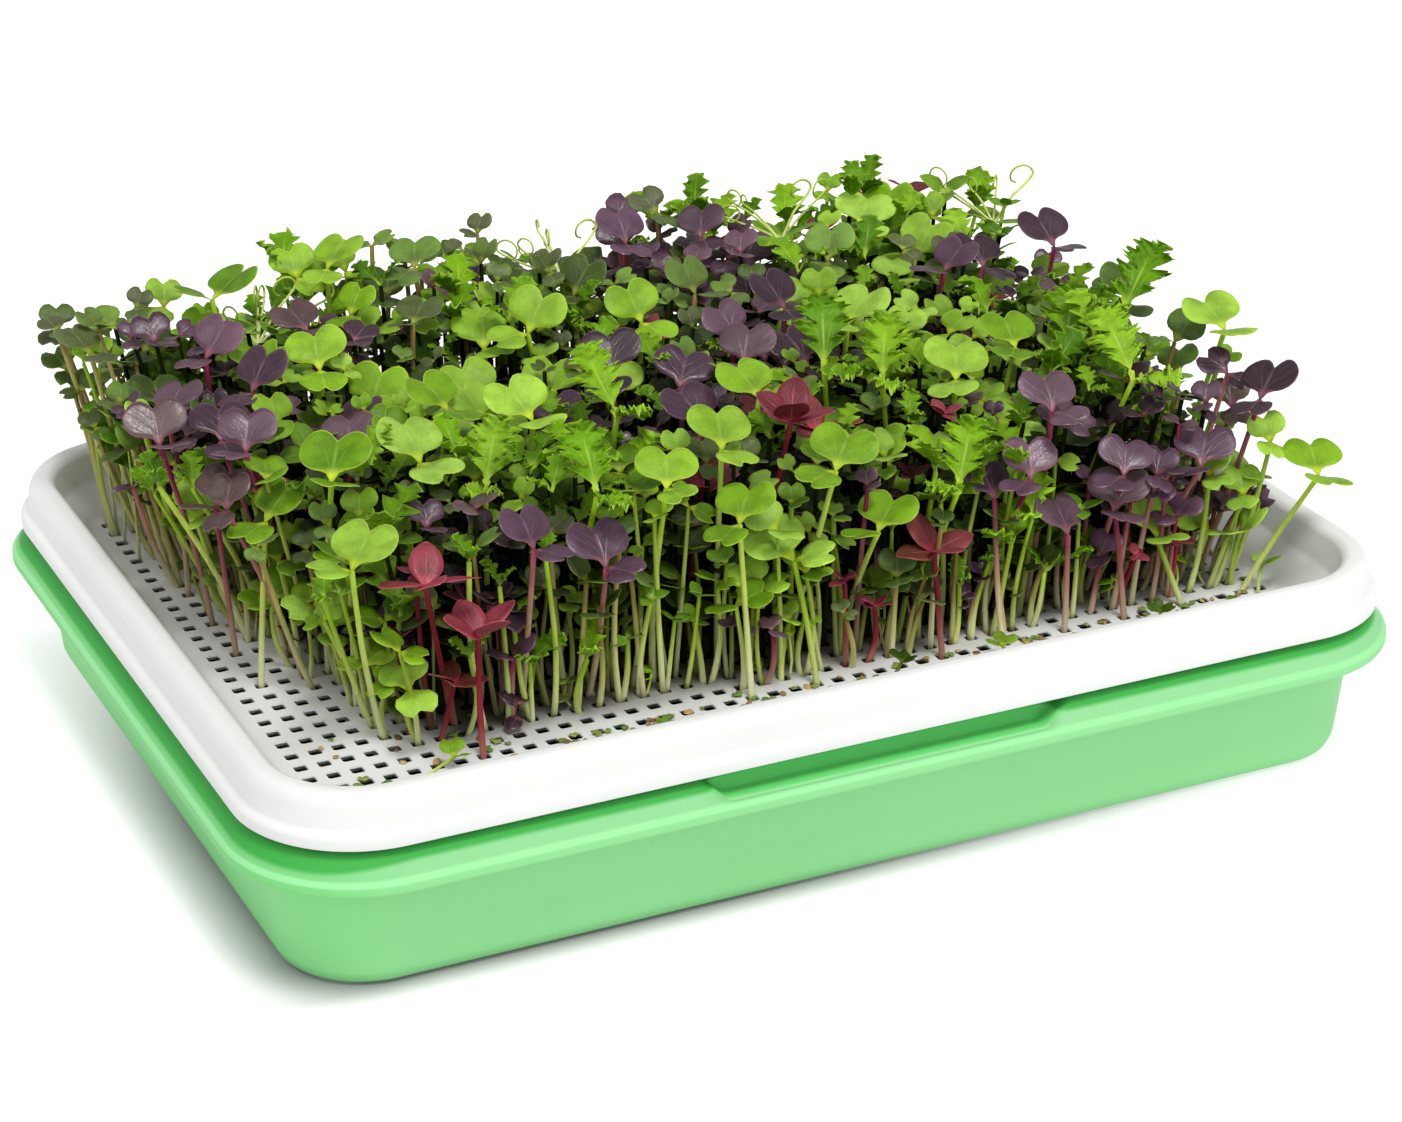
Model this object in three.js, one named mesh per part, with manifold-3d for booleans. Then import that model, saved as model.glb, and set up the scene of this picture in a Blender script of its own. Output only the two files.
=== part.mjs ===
// Microgreens tray: a green water tray, a white grow tray with a perforated floor resting in its rim,
// and bunches of seedlings whose stems stand in the floor holes and join in a root mat below.
// Millimetres, +Z up. X runs along the long side, the base sits on z = 0, the centre is the origin.
import * as THREE from 'three';
import { ConvexGeometry } from 'three/addons/geometries/ConvexGeometry.js';
import { mergeVertices } from 'three/addons/utils/BufferGeometryUtils.js';
import Module from 'manifold-3d';

const wasm = await Module();
wasm.setup();
const { Manifold, Mesh: SolidMesh } = wasm;

// ---- overall sizes ---------------------------------------------------------------------------
const FLANGE_LENGTH = 340;
const FLANGE_WIDTH = 260;
const FLANGE_CORNER = 37;
const CORNER_STEPS = 5;
const FLAT_ENOUGH = 0.004;

// Each tray section is a list of [inset from the flange outline, height].
const WATER_SECTION = [
  [17.0, 0.0],
  [13.7, 1.2],
  [12.5, 4.0],
  [9.5, 32.4],
  [0.7, 32.7],
  [0.0, 33.4],
  [0.0, 35.8],
  [1.2, 36.8],
  [5.0, 41.8],
  [6.2, 42.8],
  [7.6, 43.1],
  [8.6, 42.6],
  [9.2, 41.0],
  [9.4, 36.0],
  [11.8, 30.0],
  [14.6, 4.6],
  [16.0, 2.6],
  [17.6, 2.2],
];
// Where the finger recess is at full depth, these section rows take another place.
const RECESS_ROWS = {
  8: [3.3, 36.2],
  9: [4.0, 36.5],
  10: [9.4, 36.5],
  11: [10.4, 37.7],
  12: [11.0, 42.6],
  13: [12.6, 41.6],
  14: [12.4, 35.0],
};
const RECESS_STATIONS = [
  [-55, 0],
  [-52, 0.22],
  [-48, 0.86],
  [-45, 1],
  [45, 1],
  [48, 0.86],
  [52, 0.22],
  [55, 0],
];
const GROW_SECTION = [
  [24.6, 38.4],
  [21.5, 39.4],
  [14.4, 48.2],
  [12.6, 55.2],
  [11.6, 56.2],
  [8.9, 56.2],
  [7.9, 54.8],
  [7.5, 47.6],
  [5.0, 46.8],
  [4.9, 44.0],
  [3.4, 44.0],
  [3.4, 47.6],
  [5.6, 48.4],
  [6.3, 54.8],
  [7.4, 57.0],
  [9.2, 57.8],
  [12.2, 57.7],
  [13.8, 56.4],
  [16.0, 48.6],
  [23.0, 40.7],
  [24.4, 40.0],
];

// Floor holes: a square of this side at every third place of a 6.4 x 7 mm grid.
const HOLE_SIDE = 3.3;
const HOLE_DEPTH = 6;
const FLOOR_MIDDLE = 39.2;
const HOLE_PITCH_X = 19.2;
const HOLE_PITCH_Y = 21;
const HOLE_COLUMNS = 15;
const HOLE_ROWS = 9;

// Support ribs under the grow tray rim, as [side, distance along that side from its middle].
const RIB_THICKNESS = 1.6;
const RIB_SECTION = [
  [7.2, 43.7],
  [15.0, 43.7],
  [15.2, 48.2],
  [13.2, 56.0],
  [12.0, 57.0],
  [8.2, 57.0],
  [7.1, 54.8],
  [6.8, 48.2],
];
const RIBS_LONG_SIDE = [-115, -72, 72, 115];
const RIBS_SHORT_SIDE = [-68, 0, 68];

// Seedlings.
const BLADE_THICKNESS = 0.7;
const STEM_HALF = 0.85;
const TENDRIL_RADIUS = 0.55;
const TENDRIL_SIDE = new THREE.Vector3(-0.42, 0.9, 0);
const TENDRIL_POINTS = 12;
const MAT_LOW = 31.5;
const MAT_HIGH = 37.8;
const MAT_BITE = 1.5;
const MAT_HALF = 3.2;
const CLEARANCE = 3.7;
const TRIES = 36;
const LIGHT_SIDE = 65; // degrees: the blades lean this way, turned to the light

const KINDS = {
  bright_radish: { width: [16.5, 19.5], colour: 0x7fb82c, drop: [3, 17] },
  purple_radish: { width: [15.0, 18.0], colour: 0x54394f, drop: [2, 16] },
  dark_radish: { width: [14.5, 17.5], colour: 0x47702f, drop: [2, 15] },
  mizuna: { width: [13.0, 16.0], colour: 0x6fae2f, drop: [4, 18] },
  amaranth: { width: [8.5, 10.5], colour: 0x8c1f3c, drop: [4, 14] },
  pea_shoot: { width: [8.5, 10.5], colour: 0x7fae45, drop: [2, 10] },
};

// Each bunch: its kind and the crowns (x, y, z) of its leading seedlings.
const BUNCHES = [
  ['bright_radish', [-93, 40, 107]],
  ['bright_radish', [-117, -35, 107]],
  ['bright_radish', [-127, -76, 101]],
  ['bright_radish', [-72, -3, 107], [-54, -19, 107]],
  ['bright_radish', [-91, -31, 106]],
  ['bright_radish', [-17, -59, 107], [-40, -74, 106]],
  ['bright_radish', [-21, -78, 94], [8, -76, 103], [20, -78, 84]],
  ['bright_radish', [56, 9, 107]],
  ['bright_radish', [8, -31, 107]],
  ['bright_radish', [90, -28, 107]],
  ['bright_radish', [64, -40, 106]],
  ['bright_radish', [-73, 88, 118]],
  ['bright_radish', [-108, 88, 114]],
  ['bright_radish', [148, -46, 109]],
  ['bright_radish', [150, -93, 82]],
  ['bright_radish', [97, 79, 108], [107, 61, 106]],
  ['bright_radish', [-30, 41, 107]],
  ['bright_radish', [3, 35, 107]],
  ['purple_radish', [-147, 16, 103], [-132, 15, 107]],
  ['purple_radish', [-130, -5, 106]],
  ['purple_radish', [-115, 34, 107]],
  ['purple_radish', [-119, 62, 107]],
  ['purple_radish', [-78, -76, 97], [-59, -78, 89]],
  ['purple_radish', [-21, 2, 107]],
  ['purple_radish', [15, -7, 107]],
  ['purple_radish', [-8, -32, 106]],
  ['purple_radish', [45, 27, 107]],
  ['purple_radish', [22, 88, 111]],
  ['purple_radish', [47, 88, 109]],
  ['purple_radish', [-85, 70, 110]],
  ['purple_radish', [102, 35, 107], [118, 40, 106]],
  ['purple_radish', [143, 40, 107]],
  ['purple_radish', [76, -72, 106], [66, -78, 92]],
  ['purple_radish', [96, -78, 86], [121, -78, 84]],
  ['purple_radish', [142, -74, 99]],
  ['mizuna', [-32, -25, 106]],
  ['mizuna', [-56, -66, 104]],
  ['mizuna', [34, -19, 106], [47, -29, 104]],
  ['mizuna', [45, -76, 90]],
  ['mizuna', [132, -17, 106]],
  ['mizuna', [111, -57, 104]],
  ['amaranth', [-107, -74, 92], [-96, -76, 82]],
  ['amaranth', [9, -48, 107]],
  ['amaranth', [30, -70, 103]],
  ['dark_radish', [-147, 79, 107]],
  ['dark_radish', [-134, 58, 98]],
  ['dark_radish', [-46, 88, 114]],
  ['dark_radish', [-57, 62, 107]],
  ['dark_radish', [-5, 66, 106]],
  ['dark_radish', [28, 52, 106]],
  ['dark_radish', [148, 4, 100]],
  ['dark_radish', [76, 60, 106]],
  ['pea_shoot', [-96, 84, 106]],
  ['pea_shoot', [0, 84, 107]],
  ['pea_shoot', [72, 84, 106]],
  ['pea_shoot', [140, 72, 105]],
];

// ---- shared helpers --------------------------------------------------------------------------
const rad = (degrees) => (degrees * Math.PI) / 180;

// Evenly spread numbers from 0 to 1 that repeat for the same seed.
function dice(seed) {
  let state = (seed * 7919 + 17) % 2147483647;
  const roll = () => {
    state = (state * 16807) % 2147483647;
    return state / 2147483647;
  };
  roll();
  roll();
  return roll;
}

function between(roll, low, high) {
  return low + (high - low) * roll();
}

function solidFrom(vertices, triangles) {
  return new Manifold(
    new SolidMesh({
      numProp: 3,
      vertProperties: new Float32Array(vertices.flat()),
      triVerts: new Uint32Array(triangles.flat()),
    }),
  );
}

// A closed three.js geometry as a solid that can be joined and cut.
function solidOf(geometry) {
  const bare = geometry.clone();
  bare.deleteAttribute('normal');
  bare.deleteAttribute('uv');
  const merged = mergeVertices(bare, 1e-3);
  return new Manifold(
    new SolidMesh({
      numProp: 3,
      vertProperties: merged.attributes.position.array,
      triVerts: new Uint32Array(merged.index.array),
    }),
  );
}

function convexSolid(points) {
  return solidOf(new ConvexGeometry(points.map((point) => new THREE.Vector3(...point))));
}

// ---- trays -----------------------------------------------------------------------------------
// Stations around the outline: [corner sign x, corner sign y, angle] or [x, side sign y, depth].
function outlineStations(recessed) {
  const stations = [];
  const corners = [
    [1, -1, -90],
    [1, 1, 0],
    [-1, 1, 90],
    [-1, -1, 180],
  ];
  corners.forEach(([sx, sy, start], k) => {
    for (let i = 0; i <= CORNER_STEPS; i += 1) {
      stations.push({ sx, sy, angle: rad(start + (90 * i) / CORNER_STEPS), depth: 0 });
    }
    if (recessed && k % 2 === 1) {
      const side = k === 1 ? 1 : -1;
      RECESS_STATIONS.forEach(([x, depth]) => stations.push({ x: -side * x, side, depth }));
    }
  });
  return stations;
}

function outlinePoint(station, inset) {
  const hx = FLANGE_LENGTH / 2 - FLANGE_CORNER;
  const hy = FLANGE_WIDTH / 2 - FLANGE_CORNER;
  if (station.side) {
    return [station.x, station.side * (FLANGE_WIDTH / 2 - inset)];
  }
  const r = FLANGE_CORNER - inset;
  return [station.sx * hx + r * Math.cos(station.angle), station.sy * hy + r * Math.sin(station.angle)];
}

// A closed shell: the section carried round the outline, with a flat cap at each end of the section.
function shell(section, recessRows) {
  const stations = outlineStations(Boolean(recessRows));
  const n = stations.length;
  const vertices = [];
  const triangles = [];
  section.forEach(([inset, z], row) => {
    stations.forEach((station) => {
      const deep = recessRows && recessRows[row] ? recessRows[row] : [inset, z];
      const d = inset + (deep[0] - inset) * station.depth;
      const h = z + (deep[1] - z) * station.depth;
      vertices.push([...outlinePoint(station, d), h]);
    });
  });
  for (let row = 0; row + 1 < section.length; row += 1) {
    for (let i = 0; i < n; i += 1) {
      const a = row * n + i;
      const b = row * n + ((i + 1) % n);
      triangles.push([a, b, b + n], [a, b + n, a + n]);
    }
  }
  const top = (section.length - 1) * n;
  for (let i = 1; i + 1 < n; i += 1) {
    triangles.push([0, i + 1, i], [top, top + i, top + i + 1]);
  }
  return solidFrom(vertices, triangles).simplify(FLAT_ENOUGH);
}

function holeCentres() {
  const centres = [];
  for (let j = 0; j < HOLE_ROWS; j += 1) {
    for (let i = 0; i < HOLE_COLUMNS; i += 1) {
      centres.push([
        (i - (HOLE_COLUMNS - 1) / 2) * HOLE_PITCH_X,
        (j - (HOLE_ROWS - 1) / 2) * HOLE_PITCH_Y,
      ]);
    }
  }
  return centres;
}

function rib(side, along) {
  const half = RIB_THICKNESS / 2;
  const vertices = [];
  [-half, half].forEach((offset) => {
    RIB_SECTION.forEach(([inset, z]) => {
      const acrossX = side === 'east' || side === 'west';
      const reach = (acrossX ? FLANGE_LENGTH : FLANGE_WIDTH) / 2 - inset;
      const out = side === 'east' || side === 'north' ? reach : -reach;
      vertices.push(acrossX ? [out, along + offset, z] : [along + offset, out, z]);
    });
  });
  return convexSolid(vertices);
}

function growTray() {
  let tray = shell(GROW_SECTION, null);
  const ribs = [];
  RIBS_LONG_SIDE.forEach((x) => ribs.push(rib('north', x), rib('south', x)));
  RIBS_SHORT_SIDE.forEach((y) => ribs.push(rib('east', y), rib('west', y)));
  ribs.forEach((piece) => {
    tray = tray.add(piece);
  });
  const cutter = solidOf(new THREE.BoxGeometry(HOLE_SIDE, HOLE_SIDE, HOLE_DEPTH));
  const cutters = holeCentres().map(([x, y]) => cutter.translate([x, y, FLOOR_MIDDLE]));
  return tray.subtract(Manifold.union(cutters)).simplify(FLAT_ENOUGH);
}

// ---- leaf blades -----------------------------------------------------------------------------
// Right half outlines from above the stalk to the tip: [across, along], as shares of width, length.
const HEART = [
  [0.2, 0.14],
  [0.5, 0.46],
  [0.43, 0.84],
  [0.2, 1.0],
  [0.0, 0.76],
];
const SMALL_HEART = [
  [0.44, 0.3],
  [0.44, 0.8],
  [0.2, 1.0],
  [0.0, 0.78],
];
const FRILL = [
  [0.12, 0.22],
  [0.38, 0.3],
  [0.2, 0.44],
  [0.5, 0.56],
  [0.26, 0.68],
  [0.36, 0.86],
  [0.0, 1.0],
];
const OVAL = [
  [0.44, 0.3],
  [0.36, 0.66],
  [0.0, 1.0],
];

// A leaf is { at, azimuth, rise, roll, width, length, fold, arch, half }: at is its stalk end.
function leafPoint(leaf, u, v) {
  const az = rad(leaf.azimuth);
  const el = rad(leaf.rise);
  const roll = rad(leaf.roll);
  const along = [Math.cos(el) * Math.cos(az), Math.cos(el) * Math.sin(az), Math.sin(el)];
  const flat = [Math.sin(az), -Math.cos(az), 0];
  const up = [-Math.sin(el) * Math.cos(az), -Math.sin(el) * Math.sin(az), Math.cos(el)];
  const lift = leaf.width * leaf.fold * Math.abs(u) - leaf.length * leaf.arch * v * v;
  const point = [];
  for (let k = 0; k < 3; k += 1) {
    const across = flat[k] * Math.cos(roll) + up[k] * Math.sin(roll);
    const normal = up[k] * Math.cos(roll) - flat[k] * Math.sin(roll);
    point.push(leaf.at[k] + across * u * leaf.width + along[k] * v * leaf.length + normal * lift);
  }
  return point;
}

function leafNormal(leaf) {
  const plain = { ...leaf, arch: 0, fold: 0 };
  const origin = new THREE.Vector3(...leafPoint(plain, 0, 0));
  const u = new THREE.Vector3(...leafPoint(plain, 1, 0)).sub(origin);
  const v = new THREE.Vector3(...leafPoint(plain, 0, 1)).sub(origin);
  return u.cross(v).normalize().toArray();
}

// Adds a blade to a mesh in the making. foot holds four vertex numbers on the stem: upper right,
// upper left, lower right, lower left. Both faces share one triangulation.
function addBlade(vertices, triangles, leaf, foot) {
  const { half } = leaf;
  const tip = half.length - 1;
  const normal = leafNormal(leaf);
  const faces = [0.5, -0.5].map((share, side) => {
    const place = (u, v) => {
      const p = leafPoint(leaf, u, v);
      vertices.push(p.map((value, k) => value + normal[k] * BLADE_THICKNESS * share));
      return vertices.length - 1;
    };
    const right = [foot[2 * side], ...half.map(([u, v]) => place(u, v))];
    const left = [foot[2 * side + 1]];
    half.slice(0, tip).forEach(([u, v]) => left.push(place(-u, v)));
    return { right, left: [...left, right[tip + 1]] };
  });
  const [upper, lower] = faces;
  const shape = [[0, 0], ...half].map(([u, v]) => new THREE.Vector2(u, v));
  const sheet = THREE.ShapeUtils.triangulateShape(shape, []).map(([a, b, c]) => {
    const turned = THREE.ShapeUtils.area([shape[a], shape[b], shape[c]]) > 0;
    return turned ? [a, b, c] : [a, c, b];
  });
  sheet.forEach(([a, b, c]) => {
    triangles.push([upper.right[a], upper.right[b], upper.right[c]]);
    triangles.push([upper.left[a], upper.left[c], upper.left[b]]);
    triangles.push([lower.right[a], lower.right[c], lower.right[b]]);
    triangles.push([lower.left[a], lower.left[b], lower.left[c]]);
  });
  triangles.push([upper.left[0], upper.right[0], upper.right[tip + 1]]);
  triangles.push([lower.left[0], lower.right[tip + 1], lower.right[0]]);
  for (let i = 0; i <= tip; i += 1) {
    const [a, b] = [upper.right[i], upper.right[i + 1]];
    const [c, d] = [lower.right[i], lower.right[i + 1]];
    triangles.push([a, c, d], [a, d, b]);
    const [e, f] = [upper.left[i], upper.left[i + 1]];
    const [g, h] = [lower.left[i], lower.left[i + 1]];
    triangles.push([e, h, g], [e, f, h]);
  }
}

// Points spread over a leaf, by which other seedlings keep clear of it.
function leafMarks(leaf) {
  const marks = [];
  leaf.half.forEach(([u, v]) => {
    marks.push(leafPoint(leaf, u, v));
    if (u > 0) {
      marks.push(leafPoint(leaf, -u, v), leafPoint(leaf, u / 2, v), leafPoint(leaf, -u / 2, v));
    }
  });
  return marks;
}

// ---- seedlings -------------------------------------------------------------------------------
// The stem is straight from the root mat to the crown, through the middle of its hole.
function stemFoot(sprout) {
  const [x, y] = sprout.hole;
  const share = (FLOOR_MIDDLE - MAT_HIGH + MAT_BITE) / (sprout.top[2] - FLOOR_MIDDLE);
  return [
    x - (sprout.top[0] - x) * share,
    y - (sprout.top[1] - y) * share,
    MAT_HIGH - MAT_BITE,
  ];
}

function drawLeaves(roll, kind, top, lead) {
  const { width } = KINDS[kind];
  const leaves = [];
  const face = LIGHT_SIDE + between(roll, -48, 48);
  if (kind.endsWith('radish')) {
    const w = between(roll, ...width);
    leaves.push({ azimuth: face, rise: between(roll, 30, 54), roll: between(roll, -16, 16), width: w,
      length: w * 0.8, fold: 0.16, arch: 0.1, half: lead ? HEART : SMALL_HEART, at: top,
      slot: 0 });
    const w2 = w * between(roll, 0.66, 0.82);
    leaves.push({ azimuth: face + 180 + between(roll, -40, 40), rise: between(roll, -4, 26),
      roll: between(roll, -14, 14), width: w2, length: w2 * 0.84, fold: 0.16, arch: 0.14,
      half: SMALL_HEART, at: top, slot: 2 });
  } else if (kind === 'mizuna') {
    const w = between(roll, ...width);
    leaves.push({ azimuth: face, rise: between(roll, 48, 72), roll: between(roll, -14, 14), width: w,
      length: w * 1.55, fold: 0.1, arch: 0.16, half: FRILL, at: top, slot: 0 });
    leaves.push({ azimuth: face + 150 + between(roll, 0, 60), rise: between(roll, 14, 40),
      roll: between(roll, -14, 14), width: w * 0.7, length: w * 0.95, fold: 0.1, arch: 0.2,
      half: FRILL, at: top, slot: 2 });
  } else if (kind === 'amaranth') {
    for (let i = 0; i < 4; i += 1) {
      const w = between(roll, ...width);
      leaves.push({ azimuth: face + 90 * i + between(roll, -24, 24),
        rise: between(roll, 20, 58) - 10 * (i % 2), roll: between(roll, -20, 20), width: w,
        length: w * 1.4, fold: 0.14, arch: 0.16, half: OVAL, at: top, slot: i });
    }
  } else {
    for (let i = 0; i < 3; i += 1) {
      const w = between(roll, ...width);
      leaves.push({ azimuth: face + 120 * i + between(roll, -24, 24), rise: between(roll, 10, 40),
        roll: between(roll, -20, 20), width: w, length: w * 1.4, fold: 0.16, arch: 0.14, half: OVAL,
        at: top, slot: [0, 1, 3][i] });
    }
  }
  return leaves;
}

function sproutMarks(sprout) {
  const marks = sprout.leaves.flatMap(leafMarks);
  const foot = stemFoot(sprout);
  const { top } = sprout;
  const steps = Math.ceil((top[2] - foot[2]) / 4);
  for (let i = 0; i <= steps; i += 1) {
    const t = i / steps;
    marks.push(foot.map((value, k) => value + (top[k] - value) * t));
  }
  if (sprout.tendril) {
    marks.push(...sprout.tendril);
  }
  return marks;
}

function touches(marks, placed) {
  return placed.some((other) => {
    if (Math.abs(marks[0][0] - other[0][0]) > 62 || Math.abs(marks[0][1] - other[0][1]) > 62) {
      return false;
    }
    return marks.some((p) => other.some((q) => {
      const dx = p[0] - q[0];
      const dy = p[1] - q[1];
      const dz = p[2] - q[2];
      return dx * dx + dy * dy + dz * dz < CLEARANCE * CLEARANCE;
    }));
  });
}

function insideTray(marks) {
  return marks.every(([x, y]) => Math.abs(x) < FLANGE_LENGTH / 2 - 2 && Math.abs(y) < FLANGE_WIDTH / 2 - 2);
}

// A tendril climbs from the crown and ends in a shrinking coil.
function tendrilLine(roll, top) {
  const points = [];
  const heading = rad(LIGHT_SIDE - 90 + between(roll, -50, 50));
  const reach = between(roll, 7, 11);
  for (let i = 0; i <= TENDRIL_POINTS; i += 1) {
    const t = i / TENDRIL_POINTS;
    const bend = Math.max(0, t - 0.35) / 0.65;
    const r = 4.6 * (1 - 0.4 * bend);
    const spin = 1.9 * Math.PI * bend;
    const side = reach * Math.min(1, t / 0.5) + (bend > 0 ? r * Math.sin(spin) : 0);
    const rise = 12 * Math.min(1, t / 0.45) + (bend > 0 ? r * (1 - Math.cos(spin)) * 0.8 : 0);
    points.push([
      top[0] + side * Math.cos(heading),
      top[1] + side * Math.sin(heading) + 2.4 * bend,
      top[2] - 0.8 + rise,
    ]);
  }
  return points;
}

function trySprout(kind, hole, crown, seed, placed) {
  const roll = dice(seed);
  for (let attempt = 0; attempt < TRIES; attempt += 1) {
    const lowered = crown[2] - 0.8 * attempt;
    const top = [
      crown[0] + between(roll, -0.25, 0.25) * attempt,
      crown[1] + between(roll, -0.25, 0.25) * attempt,
      Math.max(lowered, 58 + 6 * roll()),
    ];
    const leaves = drawLeaves(roll, kind, top, crown.lead);
    if (kind.endsWith('radish') && attempt > TRIES / 2) {
      leaves.pop();
    }
    const sprout = { kind, hole, top, leaves, tendril: null };
    if (kind === 'pea_shoot' && crown.lead) {
      sprout.tendril = tendrilLine(roll, top);
    }
    const marks = sproutMarks(sprout);
    if (insideTray(marks) && !touches(marks, placed)) {
      placed.push(marks);
      return sprout;
    }
  }
  return null;
}

function nearest(list, x, y) {
  let best = 0;
  list.forEach((item, i) => {
    const d = (item[0] - x) ** 2 + (item[1] - y) ** 2;
    if (d < (list[best][0] - x) ** 2 + (list[best][1] - y) ** 2) {
      best = i;
    }
  });
  return best;
}

// Leading seedlings take the free hole nearest their crown; every other hole joins the nearest bunch.
function growBunches() {
  const free = holeCentres();
  const placed = [];
  const bunches = BUNCHES.map(([kind]) => ({ kind, sprouts: [] }));
  const anchors = [];
  BUNCHES.forEach(([kind, ...crowns], b) => {
    crowns.forEach((point, c) => {
      const k = nearest(free, point[0] * 0.95, point[1] * 0.95 + 2);
      const [hole] = free.splice(k, 1);
      const back = rad(LIGHT_SIDE);
      const crown = [point[0] - 2.5 * Math.cos(back), point[1] - 4 * Math.sin(back), point[2] - 4];
      crown.lead = true;
      const sprout = trySprout(kind, hole, crown, 100 * b + c + 1, placed);
      if (sprout) {
        bunches[b].sprouts.push(sprout);
      }
      anchors.push([hole[0], hole[1], b]);
    });
  });
  free.forEach(([x, y], i) => {
    const [, , b] = anchors[nearest(anchors, x, y)];
    const roll = dice(5000 + i);
    const bareEdge = (y < -80 && x < -20) || x + 0.6 * y < -158;
    if (bareEdge) {
      return;
    }
    const { kind } = bunches[b];
    const crownHeight = BUNCHES[b][1][2] - 4 - between(roll, ...KINDS[kind].drop);
    const crown = [x + between(roll, -6, 6), y + between(roll, -6, 6), crownHeight];
    crown.lead = false;
    const sprout = trySprout(kind, [x, y], crown, 7000 + i, placed);
    if (sprout) {
      bunches[b].sprouts.push(sprout);
    }
  });
  return bunches.filter((bunch) => bunch.sprouts.length > 0);
}

// One seedling as one closed mesh: a four-sided stem whose side faces at the crown open into blades.
function seedling(sprout) {
  const vertices = [];
  const triangles = [];
  const { top, leaves, tendril } = sprout;
  const turn = rad(leaves[0].azimuth);
  const ring = (centre, half) => {
    const first = vertices.length;
    for (let k = 0; k < 4; k += 1) {
      const a = turn + (Math.PI / 2) * k - Math.PI / 4;
      const r = half * Math.SQRT2;
      vertices.push([centre[0] + r * Math.cos(a), centre[1] + r * Math.sin(a), centre[2]]);
    }
    return first;
  };
  const wall = (low, high, k) => {
    const next = (k + 1) % 4;
    triangles.push([low + k, low + next, high + next], [low + k, high + next, high + k]);
  };
  const foot = stemFoot(sprout);
  const neck = foot.map((value, k) => value + (top[k] - value) * (1 - 0.8 / (top[2] - foot[2])));
  const bottom = ring(foot, STEM_HALF);
  const lower = ring(neck, STEM_HALF * 0.95);
  const upper = ring(top, STEM_HALF * 0.9);
  triangles.push([bottom, bottom + 2, bottom + 1], [bottom, bottom + 3, bottom + 2]);
  for (let k = 0; k < 4; k += 1) {
    wall(bottom, lower, k);
    const leaf = leaves.find((item) => item.slot === k);
    if (leaf) {
      const next = (k + 1) % 4;
      addBlade(vertices, triangles, leaf, [upper + k, upper + next, lower + k, lower + next]);
    } else {
      wall(lower, upper, k);
    }
  }
  let end = upper;
  if (tendril) {
    tendril.slice(1).forEach((point, i) => {
      const before = new THREE.Vector3(...tendril[i]);
      const after = new THREE.Vector3(...tendril[Math.min(i + 2, tendril.length - 1)]);
      const way = after.sub(before).normalize();
      const first = vertices.length;
      const side = new THREE.Vector3(Math.cos(turn), Math.sin(turn), 0);
      const cross = TENDRIL_SIDE.clone().projectOnPlane(way).normalize();
      const third = new THREE.Vector3().crossVectors(way, cross);
      const start = Math.atan2(side.dot(third), side.dot(cross)) - Math.PI / 4;
      for (let k = 0; k < 4; k += 1) {
        const a = start + (Math.PI / 2) * k;
        const p = cross.clone().multiplyScalar(TENDRIL_RADIUS * Math.cos(a));
        p.addScaledVector(third, TENDRIL_RADIUS * Math.sin(a));
        vertices.push([point[0] + p.x, point[1] + p.y, point[2] + p.z]);
      }
      for (let k = 0; k < 4; k += 1) {
        wall(end, first, k);
      }
      end = first;
    });
  }
  triangles.push([end, end + 1, end + 2], [end, end + 2, end + 3]);
  return solidFrom(vertices, triangles);
}

function rootMat(holes) {
  const points = [];
  holes.forEach(([x, y]) => {
    [[-1, -1], [1, -1], [1, 1], [-1, 1]].forEach(([sx, sy]) => {
      const px = x + MAT_HALF * sx;
      const py = y + MAT_HALF * sy;
      points.push([px, py, MAT_LOW], [px, py, MAT_HIGH]);
    });
  });
  return convexSolid(points);
}

function bunchSolid(bunch) {
  const parts = [rootMat(bunch.sprouts.map((sprout) => sprout.hole))];
  bunch.sprouts.forEach((sprout) => parts.push(seedling(sprout)));
  return Manifold.union(parts);
}

// ---- assembly --------------------------------------------------------------------------------
function addMesh(group, name, solid, material) {
  const raw = solid.getMesh();
  const geometry = new THREE.BufferGeometry();
  geometry.setAttribute('position', new THREE.Float32BufferAttribute(raw.vertProperties, 3));
  geometry.setIndex([...raw.triVerts]);
  geometry.computeVertexNormals();
  const mesh = new THREE.Mesh(geometry, material);
  mesh.name = name;
  group.add(mesh);
}

const plastic = (colour, name) => {
  const material = new THREE.MeshStandardMaterial({ color: colour, roughness: 0.35, metalness: 0 });
  material.name = name;
  return material;
};

const group = new THREE.Group();
group.name = 'microgreens_tray';
addMesh(group, 'water_tray', shell(WATER_SECTION, RECESS_ROWS), plastic(0x8fdc95, 'green_plastic'));
addMesh(group, 'grow_tray', growTray(), plastic(0xf6f7f8, 'white_plastic'));

const leafMaterials = {};
Object.entries(KINDS).forEach(([kind, { colour }]) => {
  leafMaterials[kind] = new THREE.MeshStandardMaterial({ color: colour, roughness: 0.6, metalness: 0 });
  leafMaterials[kind].name = kind;
});
const counts = {};
growBunches().forEach((bunch) => {
  counts[bunch.kind] = (counts[bunch.kind] || 0) + 1;
  const number = String(counts[bunch.kind]).padStart(2, '0');
  addMesh(group, `${bunch.kind}_${number}`, bunchSolid(bunch), leafMaterials[bunch.kind]);
});

export default group;
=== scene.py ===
"""Looks of the microgreens tray: two moulded trays and a dense stand of mixed seedlings.

The frame's nodes give the places. The growth rule below is the same one that the solids follow, so each
fine bunch has its stems and leaves where its solid has them. Between them grow the smaller seedlings.
"""

import math
from functools import partialmethod

import bmesh
import bpy
import numpy as np
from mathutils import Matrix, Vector
from mathutils.geometry import delaunay_2d_cdt


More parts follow.
